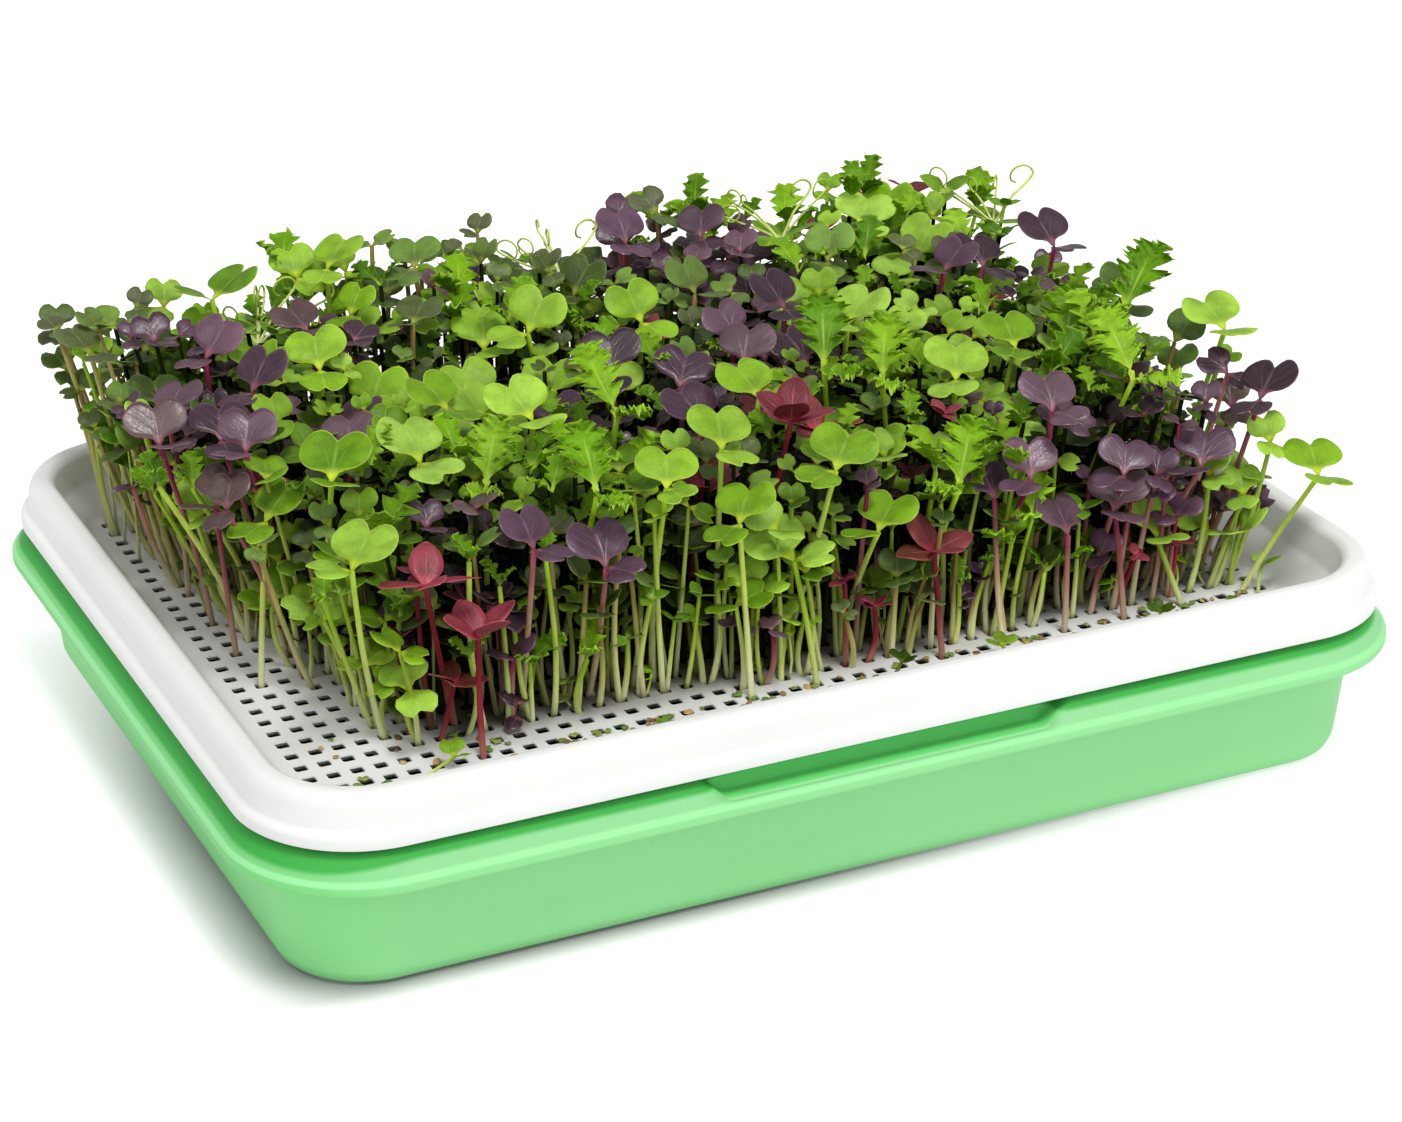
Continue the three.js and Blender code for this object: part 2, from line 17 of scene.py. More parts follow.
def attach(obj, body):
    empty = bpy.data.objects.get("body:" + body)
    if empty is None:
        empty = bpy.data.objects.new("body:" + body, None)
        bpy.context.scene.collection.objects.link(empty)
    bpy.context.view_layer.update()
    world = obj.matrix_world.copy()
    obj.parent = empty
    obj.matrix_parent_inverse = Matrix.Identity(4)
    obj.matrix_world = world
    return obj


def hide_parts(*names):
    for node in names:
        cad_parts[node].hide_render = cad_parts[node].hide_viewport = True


MM = 0.001
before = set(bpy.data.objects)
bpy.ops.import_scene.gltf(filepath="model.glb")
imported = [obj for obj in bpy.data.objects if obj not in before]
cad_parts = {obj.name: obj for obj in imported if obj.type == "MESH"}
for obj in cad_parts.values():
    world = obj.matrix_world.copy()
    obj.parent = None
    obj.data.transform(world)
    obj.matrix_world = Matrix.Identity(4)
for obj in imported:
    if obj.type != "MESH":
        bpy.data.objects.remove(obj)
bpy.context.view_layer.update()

# ---- sizes shared with the solids, in millimetres ----
FLANGE_LENGTH, FLANGE_WIDTH, FLANGE_CORNER = 340.0, 260.0, 37.0
HOLE_PITCH_X, HOLE_PITCH_Y = 19.2, 21.0
HOLE_COLUMNS, HOLE_ROWS = 15, 9
FLOOR_UNDER, FLOOR_MIDDLE, FLOOR_TOP = 38.4, 39.2, 40.0
# The root mat under a hole, how far a stem reaches into it, and half its width.
MAT_LOW, MAT_HIGH, MAT_BITE, MAT_HALF = 31.5, 37.8, 1.5, 3.2
STEM_HALF = 0.85
# How near seedlings may come, how often each one tries, and the azimuth that they lean and face to.
CLEARANCE = 3.7
TRIES = 36
LIGHT_SIDE = 65.0
DICE_SIZE = 2147483647
# Seeds of the dice: the first three are the solids' own.
LEAD_SEED, SPOT_SEED, SPROUT_SEED = 1, 5000, 7000
BUNCH_SEED, PIECE_SEED, FILLER_SEED, SECOND_SEED, LOW_SEED = 300, 900, 40000, 7000, 90000
TENDRIL_POINTS = 12
# What stays free inside the flange's outline, and how far apart seedlings can't touch.
WALL_GAP = 2.0
FAR_APART = 62.0

# The sown area: how far its edges are from the middle, how the left one slants, and the line past which
# the near left corner is bare. Left of NEAR_STEP the near edge is a little further in.
SOWN_LEFT, SOWN_RIGHT, SOWN_BACK, SOWN_NEAR, SOWN_NEAR_LEFT = 127.0, 137.0, 98.0, 79.0, 73.0
LEFT_SLANT = 0.17
CORNER_SLANT = 0.6
CORNER_REACH = 158.0
NEAR_STEP = -20.0

KINDS = {
    "bright_radish": {"width": (16.5, 19.5), "drop": (3, 17)},
    "purple_radish": {"width": (15.0, 18.0), "drop": (2, 16)},
    "dark_radish": {"width": (14.5, 17.5), "drop": (2, 15)},
    "mizuna": {"width": (13.0, 16.0), "drop": (4, 18)},
    "amaranth": {"width": (8.5, 10.5), "drop": (4, 14)},
    "pea_shoot": {"width": (8.5, 10.5), "drop": (2, 10)},
}

# Each kind's bunches, and for each bunch the crowns (x, y, z) of its leading seedlings.
CROWNS = {
    "bright_radish": (
        [(-93, 40, 107)], [(-117, -35, 107)], [(-127, -76, 101)], [(-72, -3, 107), (-54, -19, 107)],
        [(-91, -31, 106)], [(-17, -59, 107), (-40, -74, 106)],
        [(-21, -78, 94), (8, -76, 103), (20, -78, 84)], [(56, 9, 107)], [(8, -31, 107)], [(90, -28, 107)],
        [(64, -40, 106)], [(-73, 88, 118)], [(-108, 88, 114)], [(148, -46, 109)], [(150, -93, 82)],
        [(97, 79, 108), (107, 61, 106)], [(-30, 41, 107)], [(3, 35, 107)],
    ),
    "purple_radish": (
        [(-147, 16, 103), (-132, 15, 107)], [(-130, -5, 106)], [(-115, 34, 107)], [(-119, 62, 107)],
        [(-78, -76, 97), (-59, -78, 89)], [(-21, 2, 107)], [(15, -7, 107)], [(-8, -32, 106)],
        [(45, 27, 107)], [(22, 88, 111)], [(47, 88, 109)], [(-85, 70, 110)],
        [(102, 35, 107), (118, 40, 106)], [(143, 40, 107)], [(76, -72, 106), (66, -78, 92)],
        [(96, -78, 86), (121, -78, 84)], [(142, -74, 99)],
    ),
    "mizuna": (
        [(-32, -25, 106)], [(-56, -66, 104)], [(34, -19, 106), (47, -29, 104)], [(45, -76, 90)],
        [(132, -17, 106)], [(111, -57, 104)],
    ),
    "amaranth": (
        [(-107, -74, 92), (-96, -76, 82)], [(9, -48, 107)], [(30, -70, 103)],
    ),
    "dark_radish": (
        [(-147, 79, 107)], [(-134, 58, 98)], [(-46, 88, 114)], [(-57, 62, 107)], [(-5, 66, 106)],
        [(28, 52, 106)], [(148, 4, 100)], [(76, 60, 106)],
    ),
    "pea_shoot": (
        [(-96, 84, 106)], [(0, 84, 107)], [(72, 84, 106)], [(140, 72, 105)],
    ),
}
BUNCHES = [(kind, *crowns) for kind, rows in CROWNS.items() for crowns in rows]

# Right half outlines of the blades as the solids have them, for the clearance rule.
HALVES = {
    "heart": ((0.2, 0.14), (0.5, 0.46), (0.43, 0.84), (0.2, 1.0), (0.0, 0.76)),
    "small_heart": ((0.44, 0.3), (0.44, 0.8), (0.2, 1.0), (0.0, 0.78)),
    "frill": ((0.12, 0.22), (0.38, 0.3), (0.2, 0.44), (0.5, 0.56), (0.26, 0.68), (0.36, 0.86), (0.0, 1.0)),
    "oval": ((0.44, 0.3), (0.36, 0.66), (0.0, 1.0)),
}


# ---- growth rule ----
def dice(seed):
    """Evenly spread numbers that repeat for the same seed: roll() from 0 to 1, roll(a, b) from a to b."""
    state = [(seed * 7919 + 17) % DICE_SIZE]

    def roll(low=0.0, high=1.0):
        state[0] = (state[0] * 16807) % DICE_SIZE
        return low + (high - low) * (state[0] / DICE_SIZE)

    roll()
    roll()
    return roll


def part_way(value, low, high):
    """How far the value lies from low to high, as a share from 0 to 1."""
    return min(max((value - low) / (high - low), 0), 1)


def leaf_axes(leaf):
    """Unit vectors across, along and out of the blade."""
    az, el, turn = (math.radians(leaf[k]) for k in ("azimuth", "rise", "roll"))
    along = np.array([math.cos(el) * math.cos(az), math.cos(el) * math.sin(az), math.sin(el)])
    flat = np.array([math.sin(az), -math.cos(az), 0.0])
    up = np.array([-math.sin(el) * math.cos(az), -math.sin(el) * math.sin(az), math.cos(el)])
    across = flat * math.cos(turn) + up * math.sin(turn)
    normal = up * math.cos(turn) - flat * math.sin(turn)
    return across, along, normal


def blade_points(leaf, u, v, lift):
    """Points of a blade, by their shares across and along it and their height over it."""
    across, along, normal = leaf_axes(leaf)
    return (
        np.array(leaf["at"])
        + np.outer(u * leaf["width"], across)
        + np.outer(v * leaf["length"], along)
        + np.outer(lift, normal)
    )


def leaf_marks(leaf):
    """Points spread over a leaf, by which other seedlings keep clear of it."""
    spots = []
    for u, v in HALVES[leaf["half"]]:
        spots.append((u, v))
        if u > 0:
            spots += [(-u, v), (u / 2, v), (-u / 2, v)]
    u, v = np.array(spots).T
    lift = leaf["width"] * leaf["fold"] * abs(u) - leaf["length"] * leaf["arch"] * v ** 2
    return blade_points(leaf, u, v, lift)


def make_leaf(at, azimuth, rise, roll, width, stretch, fold, arch, half):
    """A blade: its foot, its turns in degrees, its size in millimetres and its form."""
    return {
        "at": at, "azimuth": azimuth, "rise": rise, "roll": roll, "width": width,
        "length": width * stretch, "fold": fold, "arch": arch, "half": half,
    }


def draw_leaves(roll, kind, top, lead):
    """The blades of one seedling, in the kind's own form."""
    low, high = KINDS[kind]["width"]
    leaves = []
    face = LIGHT_SIDE + roll(-48, 48)
    if kind.endswith("radish"):
        w = roll(low, high)
        rise, turn = roll(30, 54), roll(-16, 16)
        half = "heart" if lead else "small_heart"
        leaves.append(make_leaf(top, face, rise, turn, w, 0.8, 0.16, 0.1, half))
        w2 = w * roll(0.66, 0.82)
        azimuth = face + 180 + roll(-40, 40)
        rise, turn = roll(-4, 26), roll(-14, 14)
        leaves.append(make_leaf(top, azimuth, rise, turn, w2, 0.84, 0.16, 0.14, "small_heart"))
    elif kind == "mizuna":
        w = roll(low, high)
        rise, turn = roll(48, 72), roll(-14, 14)
        leaves.append(make_leaf(top, face, rise, turn, w, 1.55, 0.1, 0.16, "frill"))
        azimuth = face + 150 + roll(0, 60)
        rise, turn = roll(14, 40), roll(-14, 14)
        small = make_leaf(top, azimuth, rise, turn, w * 0.7, 1.0, 0.1, 0.2, "frill")
        small["length"] = w * 0.95
        leaves.append(small)
    else:
        pea = kind == "pea_shoot"
        count, rises, bend = (3, (10, 40), (0.16, 0.14)) if pea else (4, (20, 58), (0.14, 0.16))
        for i in range(count):
            w = roll(low, high)
            azimuth = face + 360 // count * i + roll(-24, 24)
            rise = roll(*rises) - (0 if pea else 10 * (i % 2))
            leaves.append(make_leaf(top, azimuth, rise, roll(-20, 20), w, 1.4, *bend, "oval"))
    return leaves


def stem_foot(hole, top):
    """Where the stem meets the root mat, so that it passes through the middle of its hole."""
    share = (FLOOR_MIDDLE - MAT_HIGH + MAT_BITE) / (top[2] - FLOOR_MIDDLE)
    return np.array([
        hole[0] - (top[0] - hole[0]) * share,
        hole[1] - (top[1] - hole[1]) * share,
        MAT_HIGH - MAT_BITE,
    ])


def coil(top, heading, reach, climb, radius, spin, drift, start, shrink, squash, sweep, drop):
    """A line that climbs from the crown and, from its share start onwards, winds into a shrinking coil."""
    points = []
    for i in range(TENDRIL_POINTS + 1):
        t = i / TENDRIL_POINTS
        bend = max(0.0, t - start) / (1 - start)
        r = radius * (1 - shrink * bend)
        side = reach * min(1.0, t / 0.5) ** sweep + r * math.sin(spin * bend)
        rise = climb * min(1.0, t / 0.45) + r * (1 - math.cos(spin * bend)) * squash
        points.append((
            top[0] + side * math.cos(heading) + drift[0] * bend,
            top[1] + side * math.sin(heading) + drift[1] * bend,
            top[2] - drop + rise,
        ))
    return points


def tendril_line(roll, top):
    """The tendril of a leading pea shoot, as its solid has it."""
    heading = math.radians(LIGHT_SIDE - 90 + roll(-50, 50))
    return coil(top, heading, roll(7, 11), 12, 4.6, 1.9 * math.pi, (0, 2.4), 0.35, 0.4, 0.8, 1.0, 0.8)


def sprout_marks(sprout):
    """Points along the stem, the blades and the tendril."""
    foot = stem_foot(sprout["hole"], sprout["top"])
    top = np.array(sprout["top"])
    steps = math.ceil((top[2] - foot[2]) / 4)
    share = np.arange(steps + 1)[:, None] / steps
    marks = [leaf_marks(leaf) for leaf in sprout["leaves"]]
    marks.append(foot + (top - foot) * share)
    if sprout["tendril"]:
        marks.append(np.array(sprout["tendril"]))
    return np.vstack(marks)


def touches(marks, placed):
    """Whether any of the marks lies too near to a seedling placed before."""
    for other in placed:
        if abs(marks[0][0] - other[0][0]) > FAR_APART or abs(marks[0][1] - other[0][1]) > FAR_APART:
            continue
        gap = marks[:, None, :] - other[None, :, :]
        if ((gap * gap).sum(axis=2) < CLEARANCE * CLEARANCE).any():
            return True
    return False


def inside_tray(marks):
    """Whether all of the marks lie within the flange's outline."""
    limit_x, limit_y = FLANGE_LENGTH / 2 - WALL_GAP, FLANGE_WIDTH / 2 - WALL_GAP
    return bool((abs(marks[:, 0]) < limit_x).all() and (abs(marks[:, 1]) < limit_y).all())


def try_sprout(kind, hole, crown, lead, seed, placed):
    """A seedling that keeps clear of those placed, lower and further aside with each try."""
    roll = dice(seed)
    for attempt in range(TRIES):
        lowered = crown[2] - 0.8 * attempt
        x = crown[0] + roll(-0.25, 0.25) * attempt
        y = crown[1] + roll(-0.25, 0.25) * attempt
        top = (x, y, max(lowered, 58 + 6 * roll()))
        leaves = draw_leaves(roll, kind, top, lead)
        if kind.endswith("radish") and attempt > TRIES / 2:
            leaves.pop()
        sprout = {"hole": hole, "top": top, "leaves": leaves, "tendril": None}
        if kind == "pea_shoot" and lead:
            sprout["tendril"] = tendril_line(roll, top)
        marks = sprout_marks(sprout)
        if inside_tray(marks) and not touches(marks, placed):
            placed.append(marks)
            return sprout
    return None


def nearest(spots, x, y):
    """The number of the spot nearest to a place."""
    distances = [(spot[0] - x) ** 2 + (spot[1] - y) ** 2 for spot in spots]
    return distances.index(min(distances))


def grid(columns, rows, pitch_x, pitch_y):
    """Places of a centred grid, row by row, each with its column and row."""
    return [
        ((i - (columns - 1) / 2) * pitch_x, (j - (rows - 1) / 2) * pitch_y, i, j)
        for j in range(rows)
        for i in range(columns)
    ]


def past_corner(x, y):
    """How far a place lies inside the line that cuts off the near left corner."""
    return x + CORNER_SLANT * y + CORNER_REACH


def bare(x, y):
    """The strip along the near side and the near left corner, where nothing is sown."""
    return (y < -80 and x < NEAR_STEP) or past_corner(x, y) < 0


def grow_bunches():
    """Leading seedlings take the free hole nearest their crown; the others join the nearest bunch."""
    free = [place[:2] for place in grid(HOLE_COLUMNS, HOLE_ROWS, HOLE_PITCH_X, HOLE_PITCH_Y)]
    placed, anchors = [], []
    bunches = [{"kind": row[0], "sprouts": []} for row in BUNCHES]
    back = math.radians(LIGHT_SIDE)
    for b, (kind, *crowns) in enumerate(BUNCHES):
        for c, (x, y, z) in enumerate(crowns):
            hole = free.pop(nearest(free, x * 0.95, y * 0.95 + 2))
            crown = (x - 2.5 * math.cos(back), y - 4 * math.sin(back), z - 4)
            sprout = try_sprout(kind, hole, crown, True, 100 * b + c + LEAD_SEED, placed)
            if sprout:
                bunches[b]["sprouts"].append(sprout)
            anchors.append((hole[0], hole[1], b))
    for i, (x, y) in enumerate(free):
        if bare(x, y):
            continue
        b = anchors[nearest(anchors, x, y)][2]
        roll = dice(SPOT_SEED + i)
        kind = bunches[b]["kind"]
        height = BUNCHES[b][1][2] - 4 - roll(*KINDS[kind]["drop"])
        crown = (x + roll(-6, 6), y + roll(-6, 6), height)
        sprout = try_sprout(kind, (x, y), crown, False, SPROUT_SEED + i, placed)
        if sprout:
            bunches[b]["sprouts"].append(sprout)
    counts = {}
    grown = []
    for bunch in bunches:
        if bunch["sprouts"]:
            kind = bunch["kind"]
            counts[kind] = counts.get(kind, 0) + 1
            bunch["node"] = f"{kind}_{counts[kind]:02d}"
            grown.append(bunch)
    return grown, anchors


# ---- mesh building ----
def put_in_scene(name, data):
    """A new object in the scene for a mesh, light or camera."""
    thing = bpy.data.objects.new(name, data)
    bpy.context.scene.collection.objects.link(thing)
    return thing


# Which of its piece's materials a surface takes: the third is roots in a bunch, shaded stems elsewhere.
BLADE_SLOT, STEM_SLOT, ROOT_SLOT, SHADED_SLOT = 0, 1, 2, 2


class Sheaf:
    """Gathers surfaces into one mesh, with per-point values that the materials read.

    leaf holds (across, along, distance in from the edge); tone holds two random numbers per leaf and a share
    of painted shade.
    """

    def __init__(self):
        self.points, self.quads, self.leaf, self.tone, self.slots, self.smooth = [], [], [], [], [], []
        self.size = 0

    def add(self, points, quads, leaf, tone, slot, smooth):
        self.points.append(points)
        self.quads.append(quads + self.size)
        self.leaf.append(leaf)
        self.tone.append(np.tile(tone, (len(points), 1)))
        self.slots.append(np.full(len(quads), slot))
        self.smooth.append(smooth)
        self.size += len(points)

    def build(self, name, materials):
        points = np.vstack(self.points) * MM
        quads = np.vstack(self.quads)
        mesh = bpy.data.meshes.new(name)
        mesh.vertices.add(len(points))
        mesh.vertices.foreach_set("co", points.astype(np.float32).ravel())
        mesh.loops.add(quads.size)
        mesh.loops.foreach_set("vertex_index", quads.astype(np.int32).ravel())
        mesh.polygons.add(len(quads))
        mesh.polygons.foreach_set("loop_start", np.arange(0, quads.size, 4, dtype=np.int32))
        mesh.polygons.foreach_set("material_index", np.concatenate(self.slots).astype(np.int32))
        mesh.polygons.foreach_set("use_smooth", np.concatenate(self.smooth))
        for label, values in (("leaf", self.leaf), ("tone", self.tone)):
            layer = mesh.attributes.new(label, "FLOAT_VECTOR", "POINT")
            layer.data.foreach_set("vector", np.vstack(values).astype(np.float32).ravel())
        mesh.update(calc_edges=True)
        mesh.validate()
        for material in materials:
            mesh.materials.append(material)
        return put_in_scene(name, mesh)


def sheet_template(grid):
    """A thin closed sheet over a grid of (across, along) places, rows running along."""
    rows, cols = grid.shape[:2]
    n = rows * cols
    index = np.arange(n).reshape(rows, cols)
    quads = np.stack([index[:-1, :-1], index[:-1, 1:], index[1:, 1:], index[1:, :-1]], axis=-1).reshape(-1, 4)
    loop = np.concatenate([index[0, :], index[1:, -1], index[-1, -2::-1], index[-2:0:-1, 0]])
    after = np.roll(loop, -1)
    rim = np.stack([loop, loop + n, after + n, after], axis=-1)
    row_edge = np.minimum(np.arange(rows), np.arange(rows)[::-1])[:, None] / ((rows - 1) / 2)
    col_edge = np.minimum(np.arange(cols), np.arange(cols)[::-1])[None, :] / ((cols - 1) / 2)
    edge = np.minimum(row_edge, col_edge).reshape(-1)
    flat = grid.reshape(-1, 2)
    return {
        "uv": np.vstack([flat, flat]),
        "edge": np.concatenate([edge, edge]),
        "side": np.concatenate([np.ones(n), -np.ones(n)]),
        "quads": np.vstack([quads, quads[:, ::-1] + n, rim]),
        "smooth": np.concatenate([np.ones(2 * len(quads), bool), np.zeros(len(rim), bool)]),
    }


def heart_grid(cols, rows):
    """Two round lobes with a cleft at the tip and a tapered foot."""
    k = np.arange(cols) / (cols - 1) * 2 - 1
    u = 0.5 * np.sin(k * math.pi / 2) * 0.75 + 0.5 * k * 0.25
    a = abs(u)
    low = np.interp(a, [0, 0.04, 0.055, 0.09, 0.15, 0.24, 0.34, 0.43, 0.48, 0.5],
                    [-0.04, -0.03, 0.08, 0.165, 0.2, 0.215, 0.25, 0.33, 0.43, 0.52])
    high = np.interp(a, [0, 0.03, 0.07, 0.13, 0.2, 0.28, 0.36, 0.43, 0.48, 0.5],
                     [0.79, 0.83, 0.9, 0.965, 1.0, 0.99, 0.94, 0.84, 0.73, 0.62])
    t = (np.arange(rows) / (rows - 1))[:, None]
    v = low[None, :] * (1 - t) + high[None, :] * t
    return np.stack([np.broadcast_to(u, v.shape), v], axis=-1)


def strap_grid(cols, stations, halves, rows):
    """A blade by its half width along the midrib."""
    v = np.linspace(stations[0], stations[-1], rows)
    half = np.interp(v, stations, halves)
    u = half[:, None] * np.linspace(-1, 1, cols)[None, :]
    return np.stack([u, np.broadcast_to(v[:, None], u.shape)], axis=-1)


def frill_side(roll, v, tooth):
    """Half widths down one side of a frilled blade: deep lobes with uneven blunt teeth."""
    place = v + roll(-0.03, 0.03)
    k = np.clip(np.searchsorted(FRILL_STATIONS, place) - 1, 0, len(FRILL_STATIONS) - 2)
    stations, halves = np.array(FRILL_STATIONS), np.array(FRILL_HALVES)
    share = np.clip((place - stations[k]) / (stations[k + 1] - stations[k]), 0, 1)
    half = halves[k] + (halves[k + 1] - halves[k]) * (1 - np.cos(math.pi * share)) / 2
    places, depths = [-0.1], [1.0]
    while places[-1] < 1.05:
        step = tooth * roll(0.6, 1.4)
        places += [places[-1] + step * 0.55, places[-1] + step]
        depths += [roll(1.02, 1.22), roll(0.66, 0.92)]
    return half * np.interp(v, places, depths)


def frill_grid(cols, rows, seed, tooth):
    """A frilled blade with its two sides unlike each other and the lobes swept forward."""
    roll = dice(seed)
    v = np.linspace(FRILL_STATIONS[0], FRILL_STATIONS[-1], rows)
    left, right = frill_side(roll, v, tooth), frill_side(roll, v, tooth)
    k = np.linspace(-1, 1, cols)[None, :]
    u = np.where(k < 0, left[:, None], right[:, None]) * k
    sweep = 0.3 * (abs(u) - 0.06).clip(0) * np.clip(1.2 - v[:, None], 0, 1)
    return np.stack([u, v[:, None] + sweep], axis=-1)


OVAL_STATIONS = [-0.05, 0, 0.1, 0.2, 0.32, 0.45, 0.6, 0.75, 0.88, 1.0]
OVAL_HALVES = [0.07, 0.08, 0.2, 0.36, 0.47, 0.5, 0.48, 0.4, 0.26, 0.05]
ROUND_HALVES = [0.09, 0.09, 0.24, 0.4, 0.48, 0.5, 0.49, 0.43, 0.3, 0.06]
FRILL_STATIONS = [-0.04, 0, 0.14, 0.2, 0.26, 0.33, 0.38, 0.43, 0.5, 0.56, 0.61, 0.66, 0.74, 0.8, 0.84, 0.89,
                  0.95, 1.0]
FRILL_HALVES = [0.05, 0.05, 0.07, 0.12, 0.36, 0.42, 0.15, 0.4, 0.54, 0.5, 0.17, 0.4, 0.5, 0.44, 0.22, 0.36,
                0.28, 0.08]

GRIDS = {
    "heart": heart_grid(17, 8),
    "small_heart": heart_grid(13, 6),
    "light_heart": heart_grid(9, 5),
    "tiny_heart": heart_grid(7, 4),
    "oval": strap_grid(7, OVAL_STATIONS, OVAL_HALVES, 11),
    "light_oval": strap_grid(5, OVAL_STATIONS, OVAL_HALVES, 7),
    "speck": strap_grid(3, OVAL_STATIONS, ROUND_HALVES, 5),
}
# Frilled blades come in three cuts each.
CUTS = ("", "_b", "_c")
for k, cut in enumerate(CUTS):
    GRIDS["frill" + cut] = frill_grid(9, 58, 11 + k, 0.07 if k == 2 else 0.06)
    GRIDS["small_frill" + cut] = frill_grid(5, 18, 14 + k, 0.13)
TEMPLATES = {name: sheet_template(places) for name, places in GRIDS.items()}
# The templates that fillers use in place of the full ones.
LIGHT_TEMPLATES = {
    "heart": "light_heart", "small_heart": "tiny_heart", "frill": "small_frill", "oval": "light_oval",
}
BLADE_THICKNESS = 0.32
LIGHT_THICKNESS = 0.3
RUFFLE = 0.13
MIDRIB_SOFTNESS = 0.05
BLADE_WAVE = 0.035
EDGE_DROOP = 0.5
PHASES = 6.3
ALL_ROUND = 6.28


def add_leaf(sheaf, leaf, tone, template, thickness=BLADE_THICKNESS, ruffle=0.0):
    """One blade: the solid's fold and arch, rounded over the midrib, with a gentle wave."""
    if template.endswith("frill"):
        template += CUTS[int(tone[0] * 2.99)]
    shape = TEMPLATES[template]
    u, v = shape["uv"].T
    width, length = leaf["width"], leaf["length"]
    soft = np.sqrt(u * u + MIDRIB_SOFTNESS ** 2) - MIDRIB_SOFTNESS
    phase, second = PHASES * tone[0], PHASES * tone[1]
    lift = width * leaf["fold"] * (soft - 0.75 * u * u) - length * leaf["arch"] * v * abs(v)
    lift += width * BLADE_WAVE * np.sin(6 * u + phase) * np.sin(5 * v + second) * np.clip(v, 0, 1)
    lift -= width * EDGE_DROOP * np.clip(abs(u) - 0.3, 0, 1) ** 2
    if ruffle:
        reach = ruffle * width * (1 - shape["edge"]) ** 2.5 * np.clip(3 * v, 0, 1)
        side, fast = np.where(u > 0, 2.1, 0.0), 53 if len(u) > 600 else 23
        swept = v - 0.6 * abs(u)
        lift += reach * (0.5 + 0.8 * np.sin(17 * swept + phase + side))
        lift += reach * 0.9 * np.sin(fast * swept + 9.0 * tone[1] + 1.7 * side)
    taper = thickness * (0.45 + 0.55 * np.clip(shape["edge"] * 2.5, 0, 1))
    lift += shape["side"] * taper / 2
    values = np.stack([u, v, shape["edge"]], axis=-1)
    sheaf.add(blade_points(leaf, u, v, lift), shape["quads"], values, tone, BLADE_SLOT, shape["smooth"])


def add_blades(sheaf, leaves, tone, roll, templates, thickness):
    """The blades of one seedling, each a little off the seedling's own tone."""
    for leaf in leaves:
        half = leaf["half"]
        drift = np.array([roll(-0.12, 0.12), roll(-0.2, 0.2), 0])
        ruffle = RUFFLE if half == "frill" else 0.0
        add_leaf(sheaf, leaf, np.clip(tone + drift, 0, 1), templates.get(half, half), thickness, ruffle)


def add_tube(sheaf, line, radii, sides, tone, slot):
    """A closed tube along a line of points; leaf.y runs from 0 at its foot to 1 at its end."""
    line = np.array(line, float)
    count = len(line)
    way = np.gradient(line, axis=0)
    way /= np.linalg.norm(way, axis=1)[:, None]
    aside = np.zeros_like(line)
    last = np.array([1.0, 0.2, 0.0]) if abs(way[0][2]) > 0.7 else np.array([0.1, 0.2, 1.0])
    for k in range(count):
        last = last - way[k] * np.dot(last, way[k])
        last /= np.linalg.norm(last)
        aside[k] = last
    third = np.cross(way, aside)
    angle = np.arange(sides) * 2 * math.pi / sides
    ring = aside[:, None, :] * np.cos(angle)[None, :, None] + third[:, None, :] * np.sin(angle)[None, :, None]
    points = (line[:, None, :] + ring * np.array(radii)[:, None, None]).reshape(-1, 3)
    share = np.repeat(np.arange(count) / (count - 1), sides)
    index = np.arange(count * sides).reshape(count, sides)
    after = np.roll(index, -1, axis=1)
    walls = np.stack([index[:-1], after[:-1], after[1:], index[1:]], axis=-1).reshape(-1, 4)
    tip = [line[0] - way[0] * radii[0] * 0.3, line[-1] + way[-1] * radii[-1] * 0.5]
    points = np.vstack([points, tip])
    share = np.concatenate([share, [0, 1]])
    caps = []
    for k in range(0, sides, 2):
        a, b, c = k, (k + 1) % sides, (k + 2) % sides
        caps.append([count * sides, index[0, c], index[0, b], index[0, a]])
        caps.append([count * sides + 1, index[-1, a], index[-1, b], index[-1, c]])
    quads = np.vstack([walls, caps])
    values = np.stack([np.tile(0.0, len(points)), share, np.ones(len(points))], axis=-1)
    sheaf.add(points, quads, values, tone, slot, np.ones(len(quads), bool))


def stem_curve(foot, top, bow, heading, steps):
    """From the foot to the crown with a small bow to one side."""
    t = np.arange(steps + 1)[:, None] / steps
    aside = np.array([math.cos(heading), math.sin(heading), 0.0])
    straight = np.array(foot) + (np.array(top) - np.array(foot)) * t
    return straight + aside * bow * np.sin(t * math.pi) * (1 - 0.4 * t)


def add_seedling(sheaf, sprout, roll):
    """One seedling with its stem and blades, as its solid has them."""
    tone = np.array([roll(), roll(), 0.0])
    foot = stem_foot(sprout["hole"], sprout["top"])
    top = np.array(sprout["top"])
    line = stem_curve(foot, top - [0, 0, 0.2], roll(-2.2, 2.2), roll(0, ALL_ROUND), 10)
    radii = np.linspace(STEM_HALF * 1.08, STEM_HALF * 0.82, len(line))
    radii[-1] = STEM_HALF * 0.95
    add_tube(sheaf, line, radii, 8, tone, STEM_SLOT)
    add_blades(sheaf, sprout["leaves"], tone, roll, {}, BLADE_THICKNESS)
    if sprout["tendril"]:
        line = smooth_line(sprout["tendril"], 4)
        add_tube(sheaf, line, np.linspace(0.5, 0.3, len(line)), 6, tone, STEM_SLOT)
        for _ in range(LOOSE_CURLS):
            curl = smooth_line(loose_curl(roll, top), 3)
            add_tube(sheaf, curl, np.linspace(0.42, 0.26, len(curl)), 5, tone, STEM_SLOT)


# Loose curls for each leading pea shoot, and the height that none of them passes.
LOOSE_CURLS = 4
CURL_CEILING = 121.4


